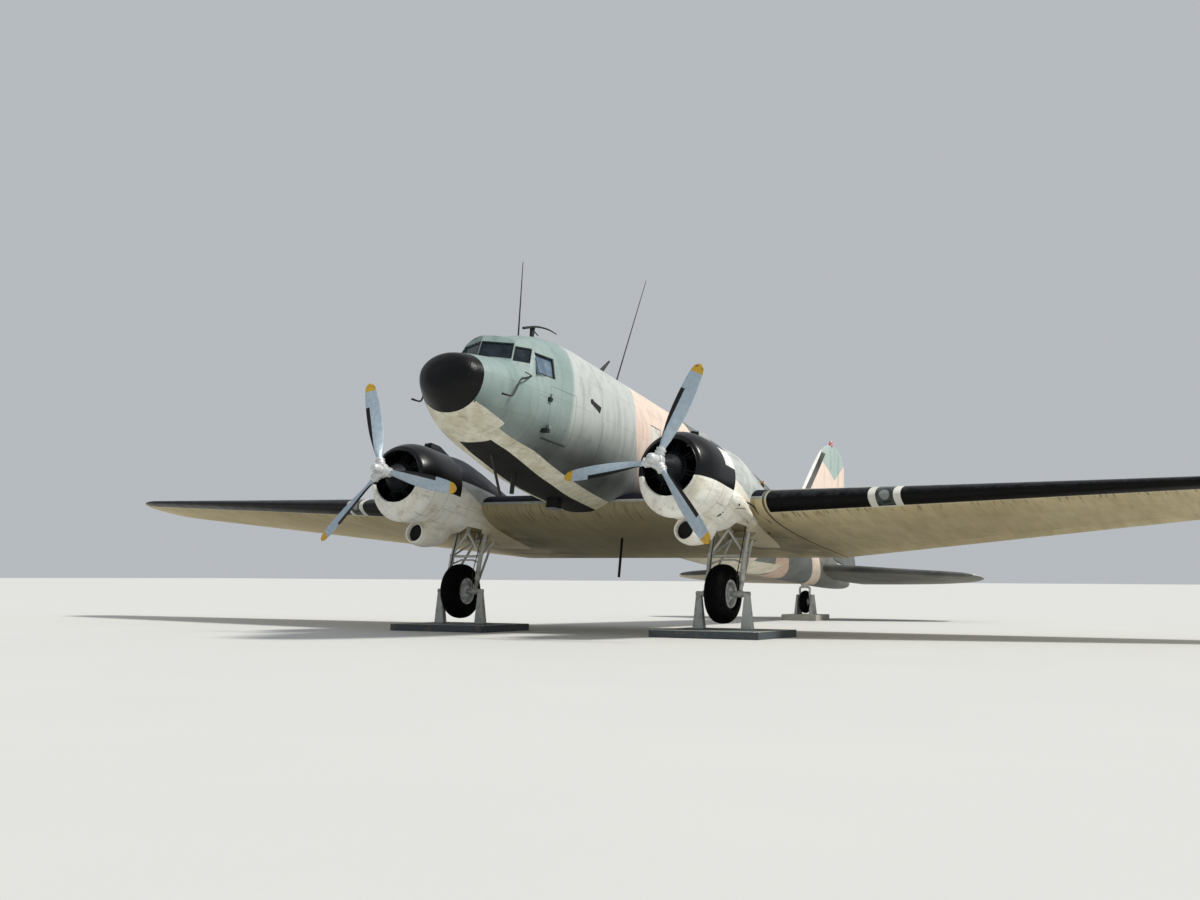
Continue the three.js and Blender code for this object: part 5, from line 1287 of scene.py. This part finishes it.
def nacelle_rings(places, grow=0.0):
    """Slightly squared rings: half width and half height times powered cosines and sines."""
    y, half, low, top = through(NACELLE, places).T[:, :, None]
    across, rise = superellipse(88, 2 / 2.3)
    middle = (low + top) / 2
    xyz = [ENGINE_X + (half + grow) * across, y + 0 * across, middle + ((top - low) / 2 + grow) * rise]
    return np.stack(xyz, -1)


nacelle = loft(nacelle_rings(np.linspace(FIREWALL, 7900, 80)))
intake = loft([
    [[ENGINE_X + dx * half, y, low + (top - low) * up] for dx, up in SCOOP_CORNERS]
    for y, low, top, half in SCOOP
])
bays = [("-", block(ENGINE_X - half, ENGINE_X + half, y0, y1, -1200, -250)) for half, y0, y1 in BAYS]
nacelle = carved(nacelle, ("+", intake), *bays)
both_sides(nacelle, "nacelle_skin_{}", nacelle_paint, node="nacelle_{}")
# A black plate on the intake's front face: painted shade in its opening
mouth = block(ENGINE_X - 72, ENGINE_X + 72, 3718, 3721, 760, 832)
both_sides(mouth, "intake_mouth_{}", soot_and_shade_black)
# Black sheets over the bays' roofs: painted shade inside the bays
for half, y0, y1 in BAYS:
    roof = block(ENGINE_X - half + 6, ENGINE_X + half - 6, y0 + 6, y1 - 6, -262, -254)
    both_sides(roof, f"bay_roof_{y0}_{{}}", soot_and_shade_black)

# Exhausts: one tail pipe outboard of each nacelle under a cream fairing that narrows aft. Oil
# coolers: a round-mouthed duct under each nacelle, its core black inside a cream ring.
PIPE = [
    [3990, 3390, -250, 110],
    [4080, 3420, -275, 150],
    [4450, 3430, -330, 140],
    [4640, 3440, -385, 105],
    [5050, 3450, -500, 62],
]
y, x, z, r = through(PIPE, np.linspace(3990, 5050, 44)).T[:, :, None]
c, s = circle(40)
rings = np.stack([x + r * c, y + 0 * c, z + r * s], -1)
pipe = loft(rings)
centre = rings[-7:].mean(1, keepdims=True)
hole = loft(centre + (rings[-7:] - centre) * 0.72 + np.linspace(0, 6, 7)[:, None, None] * [0, 1, 0])
pipe = carved(pipe, ("-", hole))
both_sides(pipe, "exhaust_fairing_{}", nacelle_paint, node="exhaust_{}")

# Black bars round the exhaust, dark with soot and painted shade: holes, a hatch, open joints and a shadow
# strip: where each runs, and its half thickness
JOINTS = [
    ([[3525, 4171, -358], [3558, 4171, -370]], 25),
    ([[3444, 3900, -305], [3436, 3900, -350]], 14),
    ([[3196, 4066, -588], [3268, 4066, -545]], 17),
    ([[3290, 4070, -530], [3306, 4070, -512]], 12),
    ([[3385, 4330, -458], [3370, 4600, -470], [3352, 4850, -480], [3330, 5080, -500]], 6),
    ([[3352, 4310, -490], [3300, 4310, -550]], 6),
    ([[3428, 4200, -440], [3520, 4210, -432], [3556, 4440, -390], [3500, 4520, -456]], 4),
    # Along the top of the fairing: painted shadow in the gap between it and the wing
    (
        [[3548, 4440, -262], [3530, 4800, -262], [3530, 5040, -330], [3575, 5260, -378], [3590, 5480, -412]],
        13,
    ),
    ([[3235, 6150, -448], [3265, 6215, -462]], 14),
]
marks = []
for path, thick in JOINTS:
    path = np.array(path, float)
    t = np.linspace(0, 1, len(path))
    fine = through(np.c_[t, path], np.linspace(0, 1, 14))[:, 1:]
    marks.append(bar(fine, thick, 10, (0.2, 0.1, 1)))
both_sides(merged(*marks), "exhaust_joints_{}", soot_and_shade_black)

# Oil cooler: aft, level of the mouth's line, radius below it, height above it, half width above it
COOLER = [
    [3600, -910, 192, 192, 192],
    [3660, -910, 212, 212, 212],
    [3780, -905, 228, 380, 300],
    [4000, -880, 235, 450, 430],
    [4400, -800, 195, 400, 380],
    [4640, -700, 110, 220, 200],
]
y, level_of, r, up, wide = through(COOLER, np.linspace(3600, 4640, 46)).T[:, :, None]
c, s = circle(64)
across = r + (wide - r) * np.maximum(0, s)
duct = loft(np.stack([ENGINE_X + c * across, y + 0 * c, level_of + s * np.where(s > 0, up, r)], -1))
bore = turned([[0, 3500], [178, 3500], [165, 3640], [165, 3720], [0, 3720]], (ENGINE_X, 0, -908))
over = loft(nacelle_rings(np.linspace(FIREWALL - 20, 7900, 40), -4.0))
cowl_rows = through(COWL_OUTSIDE, np.linspace(2900, 3970, 20))
cowl_room = loft(round_rings(np.vstack([cowl_rows, [[3972, 722, 15]]])))
duct = carved(duct, ("-", bore), ("-", over), ("-", cowl_room))
both_sides(duct, "oil_cooler_duct_{}", nacelle_paint, node="oil_cooler_{}")
core = turned([[0, 3700], [166, 3700], [166, 3722], [0, 3722]], (ENGINE_X, 0, -908), count=48)
both_sides(core, "oil_cooler_core_{}", soot_and_shade_black)

# Propellers: three narrow blades, pale grey with a black rubber strip on the leading edge and a
# yellow tip, clamped in a silver barrel with a domed pitch cylinder in front.
BLADE = [
    [200, 100, 92, 45],
    [450, 190, 58, 38],
    [750, 262, 38, 31],
    [1100, 280, 26, 24],
    [1450, 250, 17, 19],
    [1690, 175, 12, 17],
    [1752, 50, 6, 16],
]
BLADES_AT = {"port": 22.4, "starboard": -17.2}
# Dome and its rings: radius, distance aft
DOME = [
    [0, 2140], [30, 2141], [58, 2150], [78, 2176], [86, 2215], [88, 2300], [94, 2318], [94, 2334],
    [118, 2338], [132, 2352], [140, 2440], [128, 2470], [80, 2500], [76, 2524.5], [0, 2524.5],
]
# Socket and clamps round a blade's foot: distance from the hub, radius
SOCKET = [
    [60, 82], [128, 82], [130, 92], [152, 92], [154, 80],
    [186, 78], [188, 88], [212, 88], [214, 66], [235, 62],
]


def blade_rings(degrees, x):
    """Sections out along a blade: a lens of chord and thickness, blunt in front, turned to its
    pitch angle about the blade's length."""
    reach = np.r_[np.linspace(200, 1640, 40), np.linspace(1660, 1752, 14)]
    r, chord, thick, angle = through(BLADE, reach).T[:, :, None]
    out = np.array([math.sin(math.radians(degrees)), 0, math.cos(math.radians(degrees))])
    way = np.array([-out[2], 0, out[0]])
    a = np.radians(angle)
    c, s = circle(36)
    edge = c * chord / 2
    face = s * thick / 2 * (1 + 0.25 * c)
    forward = np.array([0, -1.0, 0])
    place = out * r[..., None] + way * (edge * np.cos(a) + face * np.sin(a))[..., None]
    place = place + forward * (edge * np.sin(a) - face * np.cos(a))[..., None]
    return place + np.array([x, PROP_Y, 0])


def propeller_paint(name, x_centre, start):
    """Blade colours follow the distance from the hub's line and across the nearest blade."""
    material = starts(name)
    level, x, _, z = level_place()
    x = x - x_centre
    radius = (x * x + z * z) ** 0.5
    turn = x.sum("ARCTAN2", z)
    third = 2 * math.pi / 3
    off = ((turn - math.radians(start) + third * 3.5) % third) - third / 2
    lead = off * radius
    wear = noise(level, 12, 6, 0.7)
    paint = mixed("94a6b5", "adbac4", wear.past(0.5, 0.4))
    strip = (1 - lead.past(-0.055, 0.006)) * radius.past(0.30, 0.01) * (1 - radius.past(1.28, 0.01))
    paint = mixed(paint, mixed("08080a", "3a3d3f", wear.past(0.64, 0.12)), strip)
    paint = mixed(paint, mixed("c9a032", "7c6a33", wear.past(0.6, 0.15)), radius.past(1.6, 0.006))
    hub = 1 - radius.past(0.25, 0.01)
    grease = noise(level, 26, 5).past(0.6, 0.12)
    paint = mixed(paint, mixed("d3d5d5", "77756e", grease * 0.4), hub)
    return ends(
        material,
        paint,
        0.32 + 0.25 * grease + 0.12 * wear,
        noise(level, 45, 2) + 0.3 * noise(level, 9, 4),
        0.0004,
        Metallic=0.3,
    )


for side, way in SIDES.items():
    x = ENGINE_X * way
    start = BLADES_AT[side]
    parts = [turned(DOME, (x, 0, 0))]
    for k in range(3):
        degrees = start + 120 * k
        turn = math.radians(degrees)
        parts.append(loft(blade_rings(degrees, x)))
        out = np.array([math.sin(turn), 0, math.cos(turn)])
        reach, radii = np.array(SOCKET).T
        parts.append(bar(np.array([x, PROP_Y, 0]) + reach[:, None] * out, radii, 32, (0, 1, 0)))
    paint = propeller_paint(f"propeller paint {side}", x / 1000, start)
    node = "propeller_" + side
    parks(merged(*parts), node + "_blades", paint, node, [node])

# Main gear: painted steel tubes. Two shock legs stand on each axle either side of the wheel, with
# an A-frame above, drag struts aft, and a rubber brake hose down each leg.
WHEEL_Y, WHEEL_Z, WHEEL_R = 5330, -1730, 530
LEG_X, AXLE_END, AXLE_R = 335, 520, 45
COLLAR, APEX, REAR = (5395, -1030), (5370, -560), (205, 5975, -600)
LEG_TOP_Y = 5530

gear_paint = starts("gear paint")
level, _, _, z = level_place()
chips = noise(level, 22, 5, 0.7).past(0.62, 0.08)
grease = noise(level, 6, 5).past(0.52, 0.3) * (1 - z.past(-1.2, 0.9))
paint = mixed(mixed("dcdbd5", "b4b5b0", noise(level, 2.5)), "6b5a45", chips * 0.4)
ends(
    gear_paint,
    mixed(paint, "3b362e", grease * 0.6),
    0.5 + 0.2 * grease,
    noise(level, 50, 3) - 0.6 * chips,
    0.001,
    Metallic=0.25,
)


def at_gear(dx, y, z):
    """A place beside the port wheel, so far to port of its middle."""
    return [ENGINE_X + dx, y, z]


def tube(start, end, radius, up=(0, 1, 0.2)):
    """A tube between two points beside the wheel, with a collar of welded steel at each end."""
    start, end = np.array(at_gear(*start), float), np.array(at_gear(*end), float)
    length = np.linalg.norm(end - start)
    share = np.clip(np.array([0, 30, 34, length - 34, length - 30, length]) / length, 0, 1)
    path = start + (end - start) * share[:, None]
    radius = radius * np.array([1.12, 1.12, 1, 1, 1.12, 1.12])
    return bar(path, radius, 20, up)


def wing_over(y):
    """A level inside the wing just above its underside over the wheel, at a distance aft."""
    return wing_middle(ENGINE_X, y, below=1.0) + 30


axle = [at_gear(dx, WHEEL_Y, WHEEL_Z) for dx in (-AXLE_END, AXLE_END)]
parts = [bar(axle, AXLE_R, 32)]
for out in (-1, 1):
    dx = out * LEG_X
    rear_x, rear_y, rear_z = rear = (out * REAR[0], *REAR[1:])
    parts += [
        bar([at_gear(dx - 45, WHEEL_Y, WHEEL_Z), at_gear(dx + 45, WHEEL_Y, WHEEL_Z)], 62, 32),
        tube((dx, WHEEL_Y, WHEEL_Z), (dx, *COLLAR), 32, up=(0, 1, 0)),
        tube((dx, WHEEL_Y + 22, WHEEL_Z + 230), (dx, COLLAR[0] + 4, COLLAR[1] + 40), 46, up=(0, 1, 0)),
        tube((dx, *COLLAR), (dx, LEG_TOP_Y, wing_over(LEG_TOP_Y)), 34, up=(0, 1, 0)),
        tube((dx, COLLAR[0], COLLAR[1] + 30), (0, *APEX), 24),
        tube((dx, WHEEL_Y + 20, WHEEL_Z + 60), rear, 25),
        tube((dx, *COLLAR), rear, 20),
        tube((rear_x, rear_y, rear_z - 20), (rear_x, rear_y + 10, wing_over(rear_y)), 28, up=(0, 1, 0)),
        tube((dx, WHEEL_Y + 110, WHEEL_Z + 560), (dx - out * 190, COLLAR[0] + 40, COLLAR[1] - 70), 16),
    ]
parts += [
    tube((-LEG_X, *COLLAR), (LEG_X, *COLLAR), 24),
    tube((-150, COLLAR[0] + 40, COLLAR[1] - 66), (150, COLLAR[0] + 40, COLLAR[1] - 66), 16),
    tube((0, APEX[0], APEX[1] - 30), (0, APEX[0] + 10, wing_over(APEX[0])), 42, up=(0, 1, 0)),
    tube((-REAR[0], *REAR[1:]), (REAR[0], *REAR[1:]), 22),
]
both_sides(merged(*parts), "main_gear_tubes_{}", gear_paint, node="main_gear_{}", sharp=40)
# Hoses: share of the length, how far inside the leg, distance aft, level
HOSE = [
    [0, 52, WHEEL_Y - 6, WHEEL_Z + 66],
    [0.3, 62, WHEEL_Y - 50, WHEEL_Z + 330],
    [0.65, 50, COLLAR[0] - 62, COLLAR[1] - 40],
    [1, 40, LEG_TOP_Y - 50, wing_over(LEG_TOP_Y) + 10],
]
hoses = []
for out in (-1, 1):
    inside, y, z = through(HOSE, np.linspace(0, 1, 30)).T[1:]
    hoses.append(bar(np.stack([ENGINE_X + out * (LEG_X - inside), y, z], -1), 9, 10, (0, 1, 0)))
both_sides(merged(*hoses), "brake_hose_{}", gasket_rubber)

# Wheels: a black tyre with two grooves each side of its middle, on a cast hub with a ring of bolts
# round its boss on each face. The hub turns on the axle with the tyre.
tyre_rubber = starts("tyre rubber")
level, _, _, z = level_place()
bloom = noise(level, 7, 5, 0.6)
low_dust = (1 - z.past(-1.95, 0.5)) * 0.35
ends(
    tyre_rubber,
    mixed("020203", "1b1a19", bloom.past(0.55, 0.3) * 0.25 + low_dust * bloom),
    0.58 + 0.15 * bloom,
    noise(level, 60, 3) + 0.5 * noise(level, 14),
    0.0012,
    Specular_IOR_Level=0.05,
)
# Half profile of the tyre: distance from its middle, radius
TYRE = [
    [141, 228], [144, 258], [178, 284], [194, 320], [194, 365], [184, 410],
    [166, 452], [138, 488], [104, 510], [70, 521], [0, WHEEL_R],
]
GROOVES, GROOVE_DEPTH, GROOVE_HALF = (24, 62), 9, 3.5


def tyre_profile(half_profile, steps, grooves=()):
    """A smooth half profile mirrored about the tyre's middle, its tread cut by ring grooves: the
    radius drops by their depth times a bell of the distance to each groove's middle."""
    rows = np.array(half_profile, float)
    t = np.r_[0, np.cumsum(np.hypot(*np.diff(rows, axis=0).T))]
    fine = through(np.c_[t, rows], np.linspace(0, t[-1], steps))[:, 1:]
    whole = np.vstack([fine, fine[-2::-1] * [-1, 1]])
    for groove in grooves:
        off = (np.abs(whole[:, 0]) - groove) / GROOVE_HALF
        whole[:, 1] -= GROOVE_DEPTH * np.exp(-(off**4))
    whole[:, 1] = np.minimum(whole[:, 1], rows[-1, 1])
    return whole[:, ::-1]


wheel_centre = (ENGINE_X, WHEEL_Y, WHEEL_Z)
main_tyre = turned(tyre_profile(TYRE, 160, GROOVES), wheel_centre, "x", 96, wrap=True)
both_sides(main_tyre, "main_tyre_{}", tyre_rubber, "wheel_{}", "main_tyre_{}", 50)

hub_paint = starts("hub paint")
level = level_place()[0]
brake_dust = noise(level, 10, 5).past(0.5, 0.3)
ends(
    hub_paint,
    mixed(mixed("e6e8e8", "bcbfbf", noise(level, 3)), "55504a", brake_dust * 0.45),
    0.45 + 0.25 * brake_dust,
    noise(level, 70, 3),
    0.001,
    Metallic=0.25,
)
# Hub: radius, distance from its middle
HUB = [
    [46, 151], [108, 151], [112, 148], [114, 128], [140, 118], [150, 84],
    [196, 80], [204, 128], [212, 150], [252, 158], [254, 150], [227.6, 140],
]


def wheel_hub(profile, centre, bolts, bolt_circle, face, bolt=9):
    """A turned hub with the same profile on both faces, and a ring of bolt heads on each."""
    rows = np.array(profile, float)
    whole = np.vstack([rows, (rows * [1, -1])[::-1]])
    parts = [turned(whole, centre, "x", 72, wrap=True)]
    for k in range(bolts):
        turn = 2 * math.pi * k / bolts
        spot = np.array(centre, float) + [0, bolt_circle * math.cos(turn), bolt_circle * math.sin(turn)]
        for way in (-1, 1):
            inner = spot + [way * (face - 4), 0, 0]
            parts.append(bar([inner, inner + [way * 12, 0, 0]], bolt, 6))
    return merged(*parts)


hub = wheel_hub(HUB, wheel_centre, 10, 172, 82)
both_sides(hub, "main_hub_{}", hub_paint, "wheel_{}", "main_hub_{}")

# Tail wheel: a small tyre in a forged fork under the tail cone, its castor post and a drag link.
TAIL_Y, TAIL_Z, TAIL_R = 16100, -170, 280
TAIL_TYRE = [[76, 110], [92, 128], [95, 160], [90, 200], [76, 238], [56, 262], [30, 275], [0, TAIL_R]]
tyre = turned(tyre_profile(TAIL_TYRE, 90), (0, TAIL_Y, TAIL_Z), "x", 80, wrap=True)
parks(tyre, "tail_tyre_ribbed", tyre_rubber, "wheel_tail", ["tail_tyre"], 50)
TAIL_HUB = [[22.8, 75], [58, 75], [62, 60], [84, 42], [86, 50], [109.6, 50]]
hub = wheel_hub(TAIL_HUB, (0, TAIL_Y, TAIL_Z), 6, 73, 50, 6)
parks(hub, "tail_hub_cast", hub_paint, "wheel_tail", ["tail_hub"])

crown_y, crown_z, leg = TAIL_Y - 90, TAIL_Z + TAIL_R + 60, 127
parts = [bar([[-leg - 75, TAIL_Y, TAIL_Z], [leg + 75, TAIL_Y, TAIL_Z]], 22, 24)]
for x in (-leg, leg):
    prong = [
        [0, x, TAIL_Y, TAIL_Z],
        [0.5, x, TAIL_Y - 62, TAIL_Z + 190],
        [0.82, x * 0.93, crown_y, crown_z - 6],
        [1, 0, crown_y - 10, crown_z + 36],
    ]
    curve = through(prong, np.linspace(0, 1, 24))[:, 1:]
    parts.append(bar(curve, np.linspace(24, 31, 24), 20, (0, 1, 0.01)))
    parts.append(bar([[x - 16, TAIL_Y, TAIL_Z], [x + 16, TAIL_Y, TAIL_Z]], 46, 24))
parts.append(bar([[0, crown_y - 8, crown_z - 10], [0, crown_y - 40, crown_z + 330]], 60, 28, (0, 1, 0)))
parts.append(bar([[0, crown_y - 10, crown_z + 30], [0, crown_y - 560, crown_z + 120]], 36, 20))
fork = carved(parts[0], *[("+", part) for part in parts[1:]])
fork = carved(fork, ("-", loft(hull(np.linspace(TAIL_JOINT, TAIL_END, 60), -0.5))))
parks(fork, "tail_fork", gear_paint, nodes=["tail_gear"], sharp=40)

# Stands: painted steel slabs flat on the ground, dark under the wheels and pale under the tail, each
# with two folded plate pedestals that take the ends of the axle, so that the tyres hang clear.
SLAB_TOP = 130


def parked_at(y, z):
    """Where a level place stands on the ground, in millimetres, before centring."""
    c, s = math.cos(PITCH), math.sin(PITCH)
    return y * c + z * s, z * c - y * s + LIFT * 1000


def leveled(body):
    """Turns a body that was worked out on the ground back level, so that it parks like the rest."""
    points = np.empty(len(body.data.vertices) * 3)
    body.data.vertices.foreach_get("co", points)
    x, y, z = points.reshape(-1, 3).T
    z = z - LIFT * 1000
    c, s = math.cos(PITCH), math.sin(PITCH)
    body.data.vertices.foreach_set("co", np.stack([x, y * c - z * s, z * c + y * s], -1).ravel())
    return body


def taper(x, y, z0, z1, base, top):
    """A four-sided post between two levels, its half sizes given at the foot and at the head."""
    corners = np.array([[-1, -1], [1, -1], [1, 1], [-1, 1]])
    return loft([np.c_[corners * size + [x, y], np.full(4, z)] for z, size in ((z0, base), (z1, top))])


slab_paint = starts("slab paint")
place = Wire.node("TexCoord", {}, {}, "Object")
x, y, z = Wire.node("SeparateXYZ", {}, {0: place}, ("X", "Y", "Z"))
axle_y, axle_z = parked_at(WHEEL_Y, WHEEL_Z)
mud = noise(place, 5, 5, 0.6)
side_line = abs(abs(x) - ENGINE_X / 1000).near(0.98, 0.02)
end_line = abs(y - (axle_y / 1000 - MIDDLE)).near(0.78, 0.02)
line = side_line.sum("MAXIMUM", end_line) * z.past(0.125, 0.004)
paint = mixed(mixed("4a5156", "333a40", mud), mixed("7c8583", "6a716e", mud), z.past(0.128, 0.002))
paint = mixed(paint, "dcdcd6", line * (1 - z.past(0.14, 0.004)) * 0.8)
paint = mixed(paint, mixed("a9a79c", "8f8d83", mud), y.past(3.0, 0.1))
paint = mixed(paint, mixed("c6c9c6", "a3a49d", mud), z.past(0.15, 0.004))
paint = mixed(paint, "6f6554", mud.past(0.6, 0.1) * 0.4)
ends(slab_paint, paint, 0.6 + 0.2 * mud, noise(place, 30, 4), 0.001)

# Half sizes of the slab and of the foot plates, and the pedestals: how far from the wheel's middle,
# half sizes at foot and head, how far their heads end below the axle's line
SLAB, FOOT_PLATE, FOOT_THICK = (1050, 850), (150, 105), 6
PEDESTAL = {"x": 470, "base": (105, 62), "top": (48, 34), "below": 14}
BOLTS = [(dx, dy) for dx in (-132, 132) for dy in (-86, 86)]


def plate(x, y, half, z0, z1):
    """A flat plate between two levels, its half sizes given."""
    return block(x - half[0], x + half[0], y - half[1], y + half[1], z0, z1)


parts = [plate(ENGINE_X, axle_y, SLAB, 0, SLAB_TOP)]
for x in (ENGINE_X - PEDESTAL["x"], ENGINE_X + PEDESTAL["x"]):
    foot, head = SLAB_TOP + FOOT_THICK, axle_z - PEDESTAL["below"]
    parts.append(taper(x, axle_y, foot, head, PEDESTAL["base"], PEDESTAL["top"]))
    parts.append(plate(x, axle_y, FOOT_PLATE, SLAB_TOP, foot))
    for dx, dy in BOLTS:
        bolt = [[x + dx, axle_y + dy, SLAB_TOP + z] for z in (4, 22)]
        parts.append(bar(bolt, 14, 6, (0, 1, 0)))
stand = leveled(merged(*parts))
both_sides(stand, "stand_plates_{}", slab_paint, node="stand_{}")

tail_y, tail_z = parked_at(TAIL_Y, TAIL_Z)
TAIL_PLINTH = 145
parts = [plate(0, tail_y, (450, 450), 0, TAIL_PLINTH)]
for side in (-1, 1):
    parts.append(taper(side * 192, tail_y, TAIL_PLINTH - 2, tail_z + 180, (34, 190), (20, 70)))
parks(leveled(merged(*parts)), "stand_tail_plates", slab_paint, nodes=["stand_tail"])

# Aerials and probes: two whips, a leaning post and a stub mast with two swept arms along the roof,
# a bent probe below the windscreen on each side, and a box and thin masts under the belly.
AERIALS = {
    "whip_front": ([[0, 2180, 2150], [0, 2075, 3630]], (16, 6)),
    "arm_post": ([[0, 2600, 2300], [0, 2600, 2600]], (32, 50)),
    "belly_mast_bent": ([[0, 1700, 80], [0, 2140, -600]], (24, 24)),
    "belly_mast_short": ([[0, 2480, -60], [0, 2480, -480]], (40, 40)),
    "whip_rear": ([[0, 5690, 2280], [0, 6610, 4870]], (16, 6)),
    "post_rear": ([[0, 4900, 2290], [0, 5420, 2800]], (62, 20)),
    "drain_box": ([[0, 3900, -240], [0, 3900, -440]], (150, 140)),
}
mast = bar([[0, 6550, -400], [0, 6550, -1230]], 26, 16, (0, 1, 0))
parks(mast, "belly_mast", cap_black)
# Swept arm and probe on the port side: share of the length, then the place. The probe comes out of
# the skin beside the windscreen and bends down and forward, with a short fork at its root
ROOF_ARM = [[0, 0, 2305, 2480], [0.35, 70, 2610, 2595], [0.65, 150, 2860, 2622], [1, 195, 3110, 2605]]
PROBE = [
    [0, 830, 1440, 1292],
    [0.2, 905, 1200, 1180],
    [0.4, 930, 989, 1095],
    [0.68, 925, 860, 860],
    [0.8, 915, 790, 765],
    [1, 900, 536, 729],
]
PROBE_FORK = [[850, 1436, 1290], [885, 1280, 1278], [905, 1131, 1267]]
for name, (path, radii) in AERIALS.items():
    path = np.array(path, float)
    t = np.linspace(0, 1, 12)[:, None]
    rod = bar(path[0] + (path[1] - path[0]) * t, np.linspace(*radii, 12), 20, (0, 1, 0.3))
    parks(rod, name, latch_black if radii[0] < 100 else cap_black)
for side, way in SIDES.items():
    route = through(ROOF_ARM, np.linspace(0, 1, 30))[:, 1:] * [way, 1, 1]
    parks(bar(route, np.linspace(24, 9, 30), 16), f"roof_arm_{side}", latch_black)
    route = through(PROBE, np.linspace(0, 1, 40))[:, 1:] * [way, 1, 1]
    probe = bar(route, np.r_[np.full(34, 15), np.linspace(14, 19, 6)], 14, (1, 0, 0.4))
    fork = bar(np.array(PROBE_FORK) * [way, 1, 1], 9, 10, (0, 0, 1))
    parks(merged(probe, fork), f"probe_{side}", latch_black)

# Inside: dull green paint on the floors, benches and seats, and a black instrument panel, seen
# through the glass and the open doors.
trim_green = starts("trim green")
level = level_place()[0]
scuff = noise(level, 8, 5).past(0.55, 0.2)
green = mixed("55604f", "454e41", noise(level, 1.5))
ends(trim_green, mixed(green, "8b8c84", scuff * 0.4), 0.65, noise(level, 40), 0.001)
panel_black = starts("panel black")
level = level_place()[0]
worn = noise(level, 30, 4).past(0.6, 0.1)
ends(panel_black, mixed("151617", "303234", worn), 0.5, noise(level, 200), 0.0004)
dressed("instrument_panel", panel_black)
for name in ("cockpit_floor", "cabin_floor", "crew_seat_port", "crew_seat_starboard"):
    dressed(name, trim_green)
